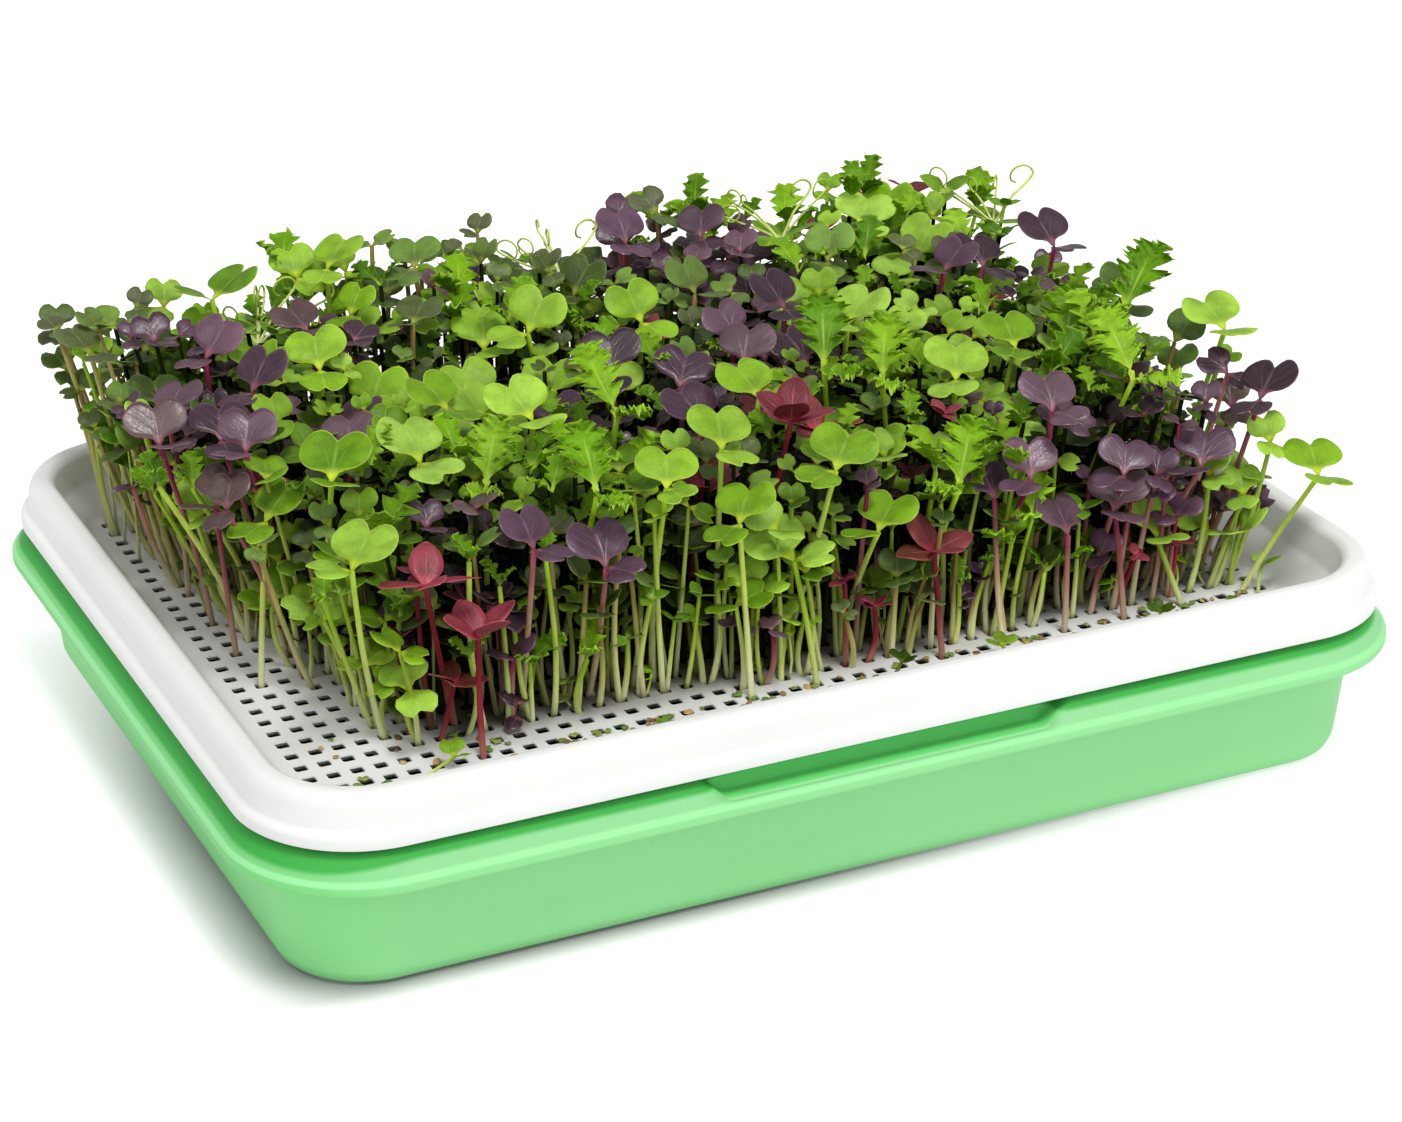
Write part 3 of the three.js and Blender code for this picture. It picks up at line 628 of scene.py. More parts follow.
def loose_curl(roll, top):
    """A thin tendril that climbs outwards over the far side and ends in a hook or a loop."""
    heading = roll(0.02, 0.98) * math.pi
    reach, climb, radius, turns = roll(7, 24), roll(6, 9), roll(2.8, 4.6), roll(0.55, 1.4)
    drift = (-1.5 * math.sin(heading), 1.5 * math.cos(heading))
    line = coil(top, heading, reach, climb, radius, 2 * math.pi * turns, drift, 0.4, 0.35, 0.9, 1.3, 0.6)
    return [(x, y, min(z, CURL_CEILING)) for x, y, z in line]


def smooth_line(points, parts):
    """A Catmull-Rom curve through the points."""
    p = np.array(points, float)
    p = np.vstack([2 * p[0] - p[1], p, 2 * p[-1] - p[-2]])
    out = []
    for i in range(1, len(p) - 2):
        for s in range(parts):
            t = s / parts
            a, b, c, d = p[i - 1], p[i], p[i + 1], p[i + 2]
            out.append(0.5 * (2 * b + (c - a) * t + (2 * a - 5 * b + 4 * c - d) * t * t
                              + (3 * b - a - 3 * c + d) * t ** 3))
    out.append(p[-2])
    return np.array(out)


# ---- materials ----
def srgb(r, g, b):
    """A colour of 0 to 255 as the linear RGBA that sockets take."""
    linear = [(c / 255 / 12.92) if c <= 10.3 else ((c / 255 + 0.055) / 1.055) ** 2.4 for c in (r, g, b)]
    return (*linear, 1.0)


class Nodes:
    """Short forms for the nodes of one material."""

    def __init__(self, name):
        self.material = bpy.data.materials.new(name)
        self.material.use_nodes = True
        self.tree = self.material.node_tree
        self.tree.nodes.clear()
        self.out = self.tree.nodes.new("ShaderNodeOutputMaterial")

    def put(self, socket, value):
        """Links the socket or sets it; three numbers for a colour are 0 to 255."""
        if isinstance(value, bpy.types.NodeSocket):
            self.tree.links.new(value, socket)
        elif socket.type == "RGBA" and len(value) == 3:
            socket.default_value = srgb(*value)
        else:
            socket.default_value = value

    def node(self, kind, inputs=None, **settings):
        n = self.tree.nodes.new("ShaderNode" + kind)
        for key, value in settings.items():
            setattr(n, key, value)
        for key, value in (inputs or {}).items():
            self.put(n.inputs[key], value)
        return n

    def math(self, operation, a, b=0.0):
        return self.node("Math", {0: a, 1: b}, operation=operation).outputs[0]

    size = partialmethod(math, "ABSOLUTE")
    add = partialmethod(math, "ADD")
    less = partialmethod(math, "SUBTRACT")
    times = partialmethod(math, "MULTIPLY")
    least = partialmethod(math, "MINIMUM")
    most = partialmethod(math, "MAXIMUM")

    def span(self, value, low, high, to_low=0.0, to_high=1.0):
        """Smoothly maps low..high to to_low..to_high."""
        inputs = {"Value": value, "From Min": low, "From Max": high, "To Min": to_low, "To Max": to_high}
        return self.node("MapRange", inputs, interpolation_type="SMOOTHSTEP").outputs[0]

    def tint(self, colour, by):
        return self.mix(1.0, colour, by, "MULTIPLY")

    def mix(self, factor, a, b, blend="MIX"):
        n = self.node("Mix", data_type="RGBA", blend_type=blend)
        self.put(n.inputs["Factor"], factor)
        self.put(n.inputs[6], a)
        self.put(n.inputs[7], b)
        return n.outputs[2]

    def ramp(self, factor, stops):
        """Colours of 0 to 255 by their places."""
        n = self.node("ValToRGB", {"Fac": factor})
        elements = n.color_ramp.elements
        while len(elements) < len(stops):
            elements.new(0.5)
        for element, (place, colour) in zip(elements, stops):
            element.position = place
            element.color = srgb(*colour)
        return n.outputs[0]

    def noise(self, where, scale, detail=3.0, rough=0.5):
        inputs = {"Vector": where, "Scale": scale, "Detail": detail, "Roughness": rough}
        return self.node("TexNoise", inputs).outputs["Fac"]

    def split(self, name):
        source = self.node("Attribute", attribute_name=name).outputs["Vector"]
        return self.node("SeparateXYZ", {0: source}).outputs

    def place(self):
        return self.node("TexCoord").outputs["Object"]

    def bump(self, height, strength, distance):
        inputs = {"Height": height, "Strength": strength, "Distance": distance}
        return self.node("Bump", inputs).outputs[0]

    def stretched(self, where, *scale):
        return self.node("Mapping", {"Vector": where, "Scale": scale}).outputs[0]

    def surface(self, colour, rough, relief=None, **settings):
        """The main shader; a setting's name stands for its socket, with _ for each space."""
        inputs = {"Base Color": colour, "Roughness": rough}
        if relief:
            inputs["Normal"] = relief
        inputs.update({label.replace("_", " "): value for label, value in settings.items()})
        return self.node("BsdfPrincipled", inputs)

    def finish(self, shader):
        self.tree.links.new(shader.outputs[0], self.out.inputs["Surface"])
        return self.material

    def lit_through(self, base, colour, relief, share):
        """Lets a share of the light come through from behind."""
        back = self.node("BsdfTranslucent", {"Color": colour, "Normal": relief})
        return self.finish(self.node("MixShader", {0: share, 1: base.outputs[0], 2: back.outputs[0]}))


def leaf_material(name, tones, rib, foot, rim, gloss, glow, shade, vein, shine, ribs, midrib):
    """A blade: own tone per leaf, pale midrib and veins, petiole tint at the foot, painted rim highlight and
    shade.
    """
    n = Nodes(name)
    u, v, edge = n.split("leaf")
    tone_a, tone_b, painted_shade = n.split("tone")
    where = n.place()
    side = n.size(u)
    colour = n.ramp(tone_a, [(k / (len(tones) - 1), c) for k, c in enumerate(tones)])
    patch = n.noise(where, 170.0, 2.0)
    dark = n.tint(colour, shade)
    colour = n.mix(n.span(patch, 0.4, 0.7, 0.0, 0.45), colour, dark)
    fine = n.noise(where, 1400.0, 3.0)
    colour = n.mix(n.span(fine, 0.35, 0.75, 0.0, 0.22), colour, dark)
    # Painted shade: darker towards the midrib, where the blade folds.
    colour = n.mix(n.span(side, 0.5, 0.1, 0.0, 0.25), colour, dark)
    # Painted highlight: a lighter rim along the blade's edge.
    colour = n.mix(n.span(edge, 0.12, 0.0, 0.0, 0.55), colour, rim)
    lean = n.times(side, 1.25)
    along = n.times(n.less(v, lean), ribs)
    along = n.add(along, n.times(patch, 0.8))
    wave = n.size(n.less(n.math("FRACT", along), 0.5))
    side_vein = n.times(n.span(wave, 0.07, 0.0), n.span(edge, 0.0, 0.5))
    main = n.times(n.span(side, 0.04, 0.006), n.span(v, 0.9, 0.35))
    lobe = n.size(n.less(side, n.times(n.math("POWER", v, 1.5), 0.34)))
    lobe = n.times(n.span(lobe, 0.02, 0.003), n.span(v, 0.75, 0.3, 0.0, 0.5))
    strong = n.most(main, lobe)
    colour = n.mix(n.times(side_vein, vein), colour, rib)
    colour = n.mix(n.times(strong, midrib), colour, rib)
    # Painted shade in the throat, where the blade narrows into its petiole.
    throat_shade = n.times(n.span(v, 0.62, 0.3), n.span(side, 0.22, 0.03, 0.0, 0.4))
    colour = n.mix(throat_shade, colour, dark)
    colour = n.mix(n.span(v, 0.3, 0.1), colour, foot)
    brighter = n.tint(colour, (1.4, 1.35, 1.3, 1.0))
    colour = n.mix(n.span(tone_b, 0.2, 1.0, 0.0, 0.6), colour, brighter)
    # Painted shade: the tone's third value darkens the blade; fillers set it by how deep and low they stand.
    colour = n.mix(painted_shade, colour, n.tint(colour, (0.06, 0.065, 0.02, 1.0)))
    veins = n.add(strong, n.times(side_vein, 0.5))
    rise = n.less(n.times(fine, 0.35), n.times(veins, midrib * 1.6))
    relief = n.bump(rise, 0.3, 0.0005)
    rough = n.span(fine, 0.3, 0.7, gloss - 0.06, gloss + 0.08)
    base = n.surface(colour, rough, relief, IOR=1.42, Specular_IOR_Level=shine)
    return n.lit_through(base, n.tint(colour, glow), relief, 0.22)


def stem_material(name, foot, middle, top, gloss=0.38, shine=0.35):
    """A juicy stem: pale at its foot, coloured at its crown, with faint streaks."""
    n = Nodes(name)
    share = n.split("leaf")[1]
    tone_a, tone_b, painted_shade = n.split("tone")
    streak = n.noise(n.stretched(n.place(), 900.0, 900.0, 90.0), 1.0, 2.0)
    height = n.add(share, n.span(tone_b, 0.0, 1.0, -0.12, 0.12))
    height = n.add(height, n.times(n.less(streak, 0.5), 0.12))
    colour = n.ramp(height, [(0.05, foot), (0.5, middle), (0.95, top)])
    darker = n.tint(colour, (0.68, 0.76, 0.42, 1.0))
    colour = n.mix(n.span(streak, 0.4, 0.75, 0.0, 0.5), colour, darker)
    colour = n.mix(n.span(tone_a, 0.3, 1.0, 0.0, 0.4), colour, top)
    # Painted shade by the tone's third value, as on the blades.
    colour = n.mix(painted_shade, colour, n.tint(colour, (0.12, 0.13, 0.04, 1.0)))
    relief = n.bump(streak, 0.3, 0.0003)
    base = n.surface(colour, gloss, relief, IOR=1.4, Specular_IOR_Level=shine)
    return n.lit_through(base, colour, relief, 0.25)


def root_material():
    """Matted white roots with tan seed coats, darker and browner between strands as painted shade."""
    n = Nodes("matted_roots")
    where = n.place()
    strands = {"Vector": n.stretched(where, 1.0, 1.0, 2.5), "Scale": 900.0}
    cells = n.node("TexVoronoi", strands, feature="DISTANCE_TO_EDGE").outputs["Distance"]
    coarse = n.noise(where, 350.0, 3.0)
    colour = n.ramp(coarse, [(0.3, (196, 188, 160)), (0.5, (232, 228, 206)), (0.72, (214, 224, 178))])
    # Painted shade: darker and browner in the creases between strands.
    colour = n.mix(n.span(cells, 0.12, 0.0, 0.0, 0.5), colour, (150, 128, 92))
    relief = n.bump(n.add(cells, n.times(coarse, 0.6)), 0.8, 0.001)
    return n.finish(n.surface(colour, 0.8, relief))


def green_tints(n, colour, x, y, z):
    """Painted light and shade: left side, lip highlight, lit recesses, shaded gap; and a duller collar."""
    # Painted light and shade on the left side: greener below the flange, darker and richer above it.
    side = n.mix(n.span(z, *UNDER_FLANGE), (1.0, 1.1, 1.0, 1.0), (0.78, 0.96, 0.78, 1.0))
    left = n.span(x, *LEFT_SIDE)
    colour = n.mix(left, colour, n.tint(colour, side))
    # A painted highlight along the lip's upper edge.
    band = n.times(n.span(z, LIP_LOW - 0.0003, LIP_LOW), n.span(z, LIP_HIGH + 0.0004, LIP_HIGH))
    colour = n.mix(band, colour, LIP_HIGHLIGHT)
    dull = n.tint(colour, (0.93, 0.88, 0.94, 1.0))
    colour = n.mix(n.span(z, *COLLAR_START), colour, dull)
    # Painted shade in the gap under the white rim; on the left it starts lower.
    shaded = n.span(n.add(z, n.times(left, 0.0018)), *GAP_START)
    # Painted light: the finger recesses, shaded by the rim, are kept a clear bright green.
    recess_light = n.times(n.span(n.size(y), *RECESS_DEPTH), n.span(n.size(x), *RECESS_ENDS))
    recess_light = n.times(recess_light, n.span(z, *RECESS_START, 0.0, 0.85))
    colour = n.mix(recess_light, colour, RECESS_LIGHT)
    return n.mix(shaded, colour, GAP_SHADE)


def shade_under_stand(n, colour, x, y, z, cloud):
    """Painted shade on the floor under the stand and the foot of its walls, fading out raggedly at its edges.
    """
    ends = n.least(n.add(n.add(x, n.times(y, LEFT_SLANT)), SHADE_LEFT), n.less(SHADE_RIGHT, x))
    sides = n.least(n.add(y, SHADE_NEAR), n.less(SHADE_BACK, y))
    depth = n.less(n.least(ends, sides), n.times(cloud, 0.012))
    stand_shade = n.times(n.span(depth, *SHADE_FADE), n.span(z, *SHADE_TOP))
    return n.mix(n.times(stand_shade, 0.92), colour, STAND_SHADE_COLOUR)


def plastic_material(name, body, light, low, gloss, green):
    """Injection-moulded plastic: gentle drift in tone, fine grain, faint scuffs in the gloss."""
    n = Nodes(name)
    where = n.place()
    drift = n.noise(where, 9.0, 2.0)
    colour = n.mix(n.span(drift, 0.35, 0.7), body, light)
    cloud = n.noise(where, 60.0, 4.0, 0.6)
    colour = n.mix(n.span(cloud, 0.5, 0.85, 0.0, 0.35), colour, low)
    x, y, z = n.node("SeparateXYZ", {0: where}).outputs
    # The green tray takes painted light and shade, the white one painted shade under the stand.
    colour = green_tints(n, colour, x, y, z) if green else shade_under_stand(n, colour, x, y, z, cloud)
    fine = n.noise(where, 2600.0, 2.0)
    scuff = n.noise(n.stretched(where, 30.0, 30.0, 420.0), 1.0, 4.0, 0.65)
    rough = n.add(n.span(fine, 0.3, 0.7, gloss - 0.03, gloss + 0.03), n.span(scuff, 0.55, 0.8, 0.0, 0.08))
    height = n.add(n.times(fine, 0.5), n.times(n.noise(where, 22.0, 1.0), 1.2))
    relief = n.bump(height, 0.12, 0.0004)
    return n.finish(n.surface(colour, rough, relief, IOR=1.49, Specular_IOR_Level=0.16))


def debris_material():
    """Seed coats and torn bits of leaf, each in its own tone."""
    n = Nodes("floor_litter")
    husks = [(0.0, (96, 70, 40)), (0.3, (150, 112, 66)), (0.55, (188, 160, 96))]
    colour = n.ramp(n.split("tone")[0], husks + [(0.75, (130, 150, 60)), (1.0, (92, 128, 44))])
    fine = n.noise(n.place(), 1200.0, 3.0)
    colour = n.mix(n.span(fine, 0.4, 0.75, 0.0, 0.5), colour, (70, 52, 32))
    relief = n.bump(fine, 0.5, 0.0004)
    return n.finish(n.surface(colour, 0.6, relief))


# Where the tints of the trays, most of them painted light and shade, begin and where they are full, in
# metres.
LEFT_SIDE, UNDER_FLANGE = (-0.13, -0.158), (0.028, 0.034)
LIP_LOW, LIP_HIGH = 0.0357, 0.0366
COLLAR_START, GAP_START = (0.0368, 0.0374), (0.0393, 0.0406)
RECESS_DEPTH, RECESS_ENDS, RECESS_START = (0.1268, 0.1246), (0.057, 0.054), (0.0355, 0.0362)
SHADE_LEFT, SHADE_RIGHT, SHADE_NEAR, SHADE_BACK = 0.123, 0.140, 0.084, 0.104
SHADE_FADE, SHADE_TOP = (-0.009, 0.014), (0.0425, 0.0405)
LIP_HIGHLIGHT, GAP_SHADE, RECESS_LIGHT = (142, 211, 147), (58, 158, 66), (92, 208, 104)
STAND_SHADE_COLOUR = (60, 54, 30)
GREEN_GLOW = (1.2, 1.2, 0.4, 1.0)
PURPLE_GLOW = (1.3, 0.9, 0.7, 1.0)
GREEN_SHADE = (150, 165, 110)
PURPLE_SHADE = (150, 130, 130)
# Each kind's slot, tones, rib, foot and rim colours (the rim colour a painted highlight), gloss, glow and
# shade, and its vein strength, shine, number of side veins and midrib strength.
LEAF_LOOKS = {
    "bright_radish": (
        "bright_leaf", [(104, 150, 14), (136, 182, 34), (158, 200, 62), (174, 214, 90)],
        (190, 216, 110), (178, 202, 50), (192, 220, 86), 0.44, GREEN_GLOW, GREEN_SHADE, 0.05, 0.3, 4.0, 0.3,
    ),
    "purple_radish": (
        "purple_leaf", [(50, 28, 42), (76, 47, 68), (112, 80, 104), (92, 74, 66)],
        (158, 118, 138), (134, 78, 92), (140, 100, 116), 0.34, PURPLE_GLOW, PURPLE_SHADE,
        0.1, 0.8, 4.0, 0.45,
    ),
    "dark_radish": (
        "dark_leaf", [(58, 76, 28), (86, 118, 38), (98, 106, 70), (112, 150, 56), (126, 166, 66)],
        (142, 166, 84), (146, 160, 60), (126, 156, 72), 0.42, GREEN_GLOW, PURPLE_SHADE, 0.1, 0.45, 4.0, 0.45,
    ),
    "mizuna": (
        "frilled_leaf", [(88, 140, 2), (112, 164, 6), (132, 182, 18), (154, 200, 44)],
        (176, 208, 84), (164, 196, 60), (170, 208, 72), 0.46, GREEN_GLOW, GREEN_SHADE, 0.22, 0.22, 6.0, 0.6,
    ),
    "amaranth": (
        "crimson_leaf", [(104, 28, 40), (136, 46, 62), (160, 66, 84), (118, 66, 40)],
        (206, 104, 122), (178, 66, 84), (190, 84, 104), 0.42, PURPLE_GLOW, PURPLE_SHADE, 0.3, 0.5, 6.0, 0.6,
    ),
    "pea_shoot": (
        "pea_leaf", [(92, 136, 24), (108, 152, 32), (124, 166, 42), (114, 158, 38)],
        (172, 204, 96), (164, 198, 84), (146, 186, 64), 0.46, GREEN_GLOW, GREEN_SHADE, 0.25, 0.22, 6.0, 0.6,
    ),
}
LEAVES = {kind: leaf_material(*look) for kind, look in LEAF_LOOKS.items()}
GREEN_STEM = stem_material("green_stem", (244, 244, 198), (220, 232, 122), (164, 200, 40))
PURPLE_STEM = stem_material("purple_stem", (242, 236, 196), (206, 156, 136), (146, 40, 80))
BLUSH_STEM = stem_material("blush_stem", (242, 240, 196), (218, 218, 134), (150, 128, 62))
CRIMSON_STEM = stem_material("crimson_stem", (206, 150, 130), (170, 48, 66), (132, 20, 44))
SHADED_STEM = stem_material("shaded_stem", (62, 64, 28), (40, 48, 14), (30, 42, 8), 0.7, 0.05)
STEMS = {
    "bright_radish": GREEN_STEM, "purple_radish": PURPLE_STEM, "dark_radish": BLUSH_STEM,
    "mizuna": GREEN_STEM, "amaranth": CRIMSON_STEM, "pea_shoot": GREEN_STEM,
}
ROOTS = root_material()
LITTER = debris_material()
GREEN_PLASTIC = plastic_material(
    "green_plastic", (132, 203, 136), (136, 206, 140), (127, 198, 131), 0.5, True)
WHITE_PLASTIC = plastic_material(
    "white_plastic", (214, 215, 214), (219, 220, 219), (208, 209, 207), 0.38, False)


# ---- the bunches that have solids ----
MAT_HAIRS = 5


def add_root_mat(sheaf, hole, roll):
    """A knot of roots under one hole, lumpy and hung with fine hairs."""
    tone = np.array([roll(), roll(), roll()])
    line = [(*hole, z) for z in (MAT_LOW + 0.6, MAT_LOW + 2.0, MAT_LOW + 4.2, MAT_HIGH - 0.3)]
    add_tube(sheaf, line, [MAT_HALF * wide for wide in (0.62, 0.95, 1.0, 0.72)], 10, tone, ROOT_SLOT)
    for _ in range(MAT_HAIRS):
        heading = roll(0, 2 * math.pi)
        reach = roll(0.5, 0.95) * MAT_HALF
        hair = [(hole[0] + reach * math.cos(heading), hole[1] + reach * math.sin(heading), MAT_LOW + 2.4)]
        for z in (MAT_LOW + 0.9, MAT_LOW + 0.2):
            hair.append((hair[-1][0] + roll(-0.8, 0.8), hair[-1][1] + roll(-0.8, 0.8), z))
        add_tube(sheaf, hair, [0.35, 0.25, 0.12], 4, tone, ROOT_SLOT)


def build_bunch(bunch, seed):
    """The fine piece that takes the place of one bunch's solid."""
    roll = dice(seed)
    sheaf = Sheaf()
    for sprout in bunch["sprouts"]:
        add_seedling(sheaf, sprout, roll)
        add_root_mat(sheaf, sprout["hole"], roll)
    kind = bunch["kind"]
    piece = sheaf.build(bunch["node"] + "_fine", [LEAVES[kind], STEMS[kind], ROOTS])
    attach(piece, "root")
    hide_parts(bunch["node"])


# ---- the smaller seedlings between them ----
FINE_PITCH_X, FINE_PITCH_Y = HOLE_PITCH_X / 3, HOLE_PITCH_Y / 3
FINE_COLUMNS, FINE_ROWS = 45, 29
HALF_COLUMNS, HALF_ROWS = FINE_COLUMNS // 2, FINE_ROWS // 2
FINE_HOLES = grid(FINE_COLUMNS, FINE_ROWS, FINE_PITCH_X, FINE_PITCH_Y)
# Shares of the fine holes that are sown inside the stand and in the band along its edge.
FILLER_SHARE, EDGE_SHARE, EDGE_BAND = 0.74, 0.94, 16.0
# How near leaves may come to each other, inside the stand and in that band.
LEAF_SPACING, EDGE_SPACING = 5.3, 4.6
FILLER_TRIES = 14
MIXED_SHARE = 0.5
DEEP_INSIDE = 13.0
OVERHANG_BAND = 22.0
FILLER_STRAY = 1.3
LOW_STRAY = 1.2
PIECE_SPROUTS = 130
# The canopy's height at the near side, what it gains inwards and at the back, and its limit.
CANOPY_NEAR, CANOPY_RISE, CANOPY_BACK_RISE, CANOPY_TOP = 76.0, 20.0, 11.0, 119.0
# It dips by PEA_DIP at the pea shoots, so that their tendrils show.
PEA_PLACES = [row[1][0] for row in BUNCHES if row[0] == "pea_shoot"]
PEA_DIP, PEA_DIP_REACH = 17.0, 20.0
# How far leaf tips may reach over the rim, and between the walls where they hang lower than OVER_RIM.
RIM_X, RIM_Y, WALL_X, WALL_Y, OVER_RIM = 153.0, 116.0, 140.0, 100.0, 62.0
MIXED_IN = ("dark_radish", "bright_radish", "mizuna", "purple_radish", "mizuna", "dark_radish", "mizuna",
            "bright_radish", "pea_shoot", "mizuna", "dark_radish", "amaranth")
LOW_KINDS = ("dark_radish", "mizuna", "bright_radish", "dark_radish", "dark_radish", "purple_radish")
FILLER_KINDS = {
    "bright_radish": (15.0, 0.8), "purple_radish": (14.0, 0.8), "dark_radish": (13.5, 0.8),
    "mizuna": (12.5, 1.5), "amaranth": (6.5, 1.6), "pea_shoot": (7.5, 1.4),
}


def pick(roll, kinds):
    """One of the kinds by chance."""
    return kinds[int(roll() * len(kinds) * 0.999)]


class Crowd:
    """Remembers where leaves are, so that new ones keep off them."""

    def __init__(self, cell):
        self.cell = cell
        self.cells = {}

    def key(self, spot):
        return tuple(int(math.floor(c / self.cell)) for c in spot)

    def add(self, spot):
        self.cells.setdefault(self.key(spot), []).append(spot)

    def near(self, spot, limit):
        a, b, c = self.key(spot)
        for i in (a - 1, a, a + 1):
            for j in (b - 1, b, b + 1):
                for k in (c - 1, c, c + 1):
                    for other in self.cells.get((i, j, k), ()):
                        if sum((p - q) ** 2 for p, q in zip(other, spot)) < limit * limit:
                            return True
        return False


def on_midrib(leaf, share):
    """A place along a leaf, without its arch."""
    return tuple(np.array(leaf["at"]) + leaf_axes(leaf)[1] * leaf["length"] * share)


def filler_leaves(roll, kind, top, size):
    """The blades of a filler: freer in their turns than the leading seedlings."""
    width, stretch = FILLER_KINDS[kind]
    leaves = []
    face = LIGHT_SIDE + roll(-75, 75)
    if kind.endswith("radish"):
        w = width * size
        rise, turn = roll(22, 62), roll(-22, 22)
        leaves.append(make_leaf(top, face, rise, turn, w, stretch, roll(0.1, 0.34), 0.14, "heart"))
        w *= roll(0.7, 0.9)
        azimuth = face + 180 + roll(-45, 45)
        rise, turn, fold = roll(-16, 32), roll(-20, 20), roll(0.1, 0.3)
        leaves.append(make_leaf(top, azimuth, rise, turn, w, 0.86, fold, 0.18, "small_heart"))
    elif kind == "mizuna":
        for azimuth, scale in ((face, 1.0), (face + roll(120, 240), 0.8)):
            rise, turn, w = roll(30, 70), roll(-22, 22), width * size * scale
            leaves.append(make_leaf(top, azimuth, rise, turn, w, stretch, 0.14, 0.22, "frill"))
    else:
        count = 4 if kind == "amaranth" else 3
        for i in range(count):
            azimuth = face + 360 / count * i + roll(-28, 28)
            rise, turn = roll(6, 56), roll(-24, 24)
            leaves.append(make_leaf(top, azimuth, rise, turn, width * size, stretch, 0.2, 0.2, "oval"))
    return leaves


def canopy_height(x, y):
    """How high the stand reaches: lower at the near side, its left end and behind the pea shoots."""
    near, corner = part_way(y, -86, -60), part_way(past_corner(x, y), 0, 34)
    dip = max(1 - min(abs(x - spot) for spot in PEA_PLACES) / PEA_DIP_REACH, 0) * part_way(y, 66, 78)
    rise = CANOPY_RISE * min(near, 0.35 + 0.65 * corner)
    return CANOPY_NEAR + rise + CANOPY_BACK_RISE * part_way(y, 30, 75) - PEA_DIP * dip


def clear_of_walls(leaf):
    """Below the canopy's top and inside the rim, and off the inner wall where the tip hangs low."""
    x, y, z = on_midrib(leaf, 0.95)
    within = abs(x) < RIM_X and abs(y) < RIM_Y and z < CANOPY_TOP
    return within and (z > OVER_RIM or (abs(x) < WALL_X and abs(y) < WALL_Y))


def from_left(x, y):
    """How far a place lies inside the slanting left edge of the sown area."""
    return x + LEFT_SLANT * y + SOWN_LEFT


def from_edge(x, y):
    """How far inside the sown area a place lies."""
    near = SOWN_NEAR_LEFT if x < NEAR_STEP else SOWN_NEAR
    return min(SOWN_RIGHT - x, from_left(x, y), SOWN_BACK - y, y + near)


def place_filler(roll, kind, hole, size, drop, spacing, crowd):
    """Tries a few crowns over the hole until one keeps clear of the leaves that are there."""
    x, y = hole
    for attempt in range(FILLER_TRIES):
        z = canopy_height(x, y) + 4 - roll(*drop) - roll(0, 2.2) * attempt
        out = 0.015 + 0.055 * part_way(z, 66, 100)
        left, right = (max(1 - max(past, 0) / OVERHANG_BAND, 0) for past in (from_left(x, y), SOWN_RIGHT - x))
        over = (roll(0, 14) * right - roll(0, 18) * left) * part_way(z, 54, 90)
        top = (x + out * x + over + roll(-4, 4), y + out * y + roll(-4, 4), max(z, 57))
        leaves = filler_leaves(roll, kind, top, size)
        if not all(clear_of_walls(leaf) for leaf in leaves):
            continue
        spots = [on_midrib(leaf, share) for leaf in leaves for share in (0.45, 0.85)]
        if any(crowd.near(spot, spacing) for spot in spots):
            continue
        for spot in spots:
            crowd.add(spot)
        return {"hole": hole, "top": top, "leaves": leaves}
    return None


def grow_fillers(grown, anchors):
    """One seedling for most fine holes and a second one near the edges, of the nearest bunch's kind or
    a mixed-in one.
    """
    sprouts = [sprout for bunch in grown for sprout in bunch["sprouts"]]
    taken = {(round(s["hole"][0] / FINE_PITCH_X), round(s["hole"][1] / FINE_PITCH_Y)) for s in sprouts}
    crowd = Crowd(LEAF_SPACING)
    for leaf in (leaf for sprout in sprouts for leaf in sprout["leaves"]):
        for share in (0.3, 0.65, 0.95):
            crowd.add(on_midrib(leaf, share))
    fillers = {kind: [] for kind in KINDS}
    for again in (0, 1):
        for x, y, i, j in FINE_HOLES:
            roll = dice(FILLER_SEED + 100 * j + i + SECOND_SEED * again)
            inside = from_edge(x, y)
            edge = inside < EDGE_BAND or y > 66
            used = (i - HALF_COLUMNS, j - HALF_ROWS) in taken
            skipped = inside > DEEP_INSIDE and y < 68 if again else used
            if inside < 0 or skipped or roll() > (EDGE_SHARE if edge else FILLER_SHARE):
                continue
            kind = BUNCHES[anchors[nearest(anchors, x, y)][2]][0]
            if roll() < MIXED_SHARE:
                kind = pick(roll, MIXED_IN)
            elif kind == "amaranth" and roll() < 0.6:
                kind = "dark_radish"
            size = 0.4 + 0.44 * roll() ** 1.3 + (0.12 if y > 60 or abs(x) > 100 else 0.0)
            first_drop = (0, 26 if edge else 8)
            second_drop = (4, 30) if y > 68 else (14, 44)
            drop = second_drop if again else first_drop
            spacing = EDGE_SPACING if edge else LEAF_SPACING
            stray = FILLER_STRAY * again
            hole = (x + stray * roll(-1, 1), y + stray * roll(-1, 1))
            sprout = place_filler(roll, kind, hole, size, drop, spacing, crowd)
            if sprout:
                sprout["inside"] = inside
                fillers[kind].append(sprout)
    return fillers


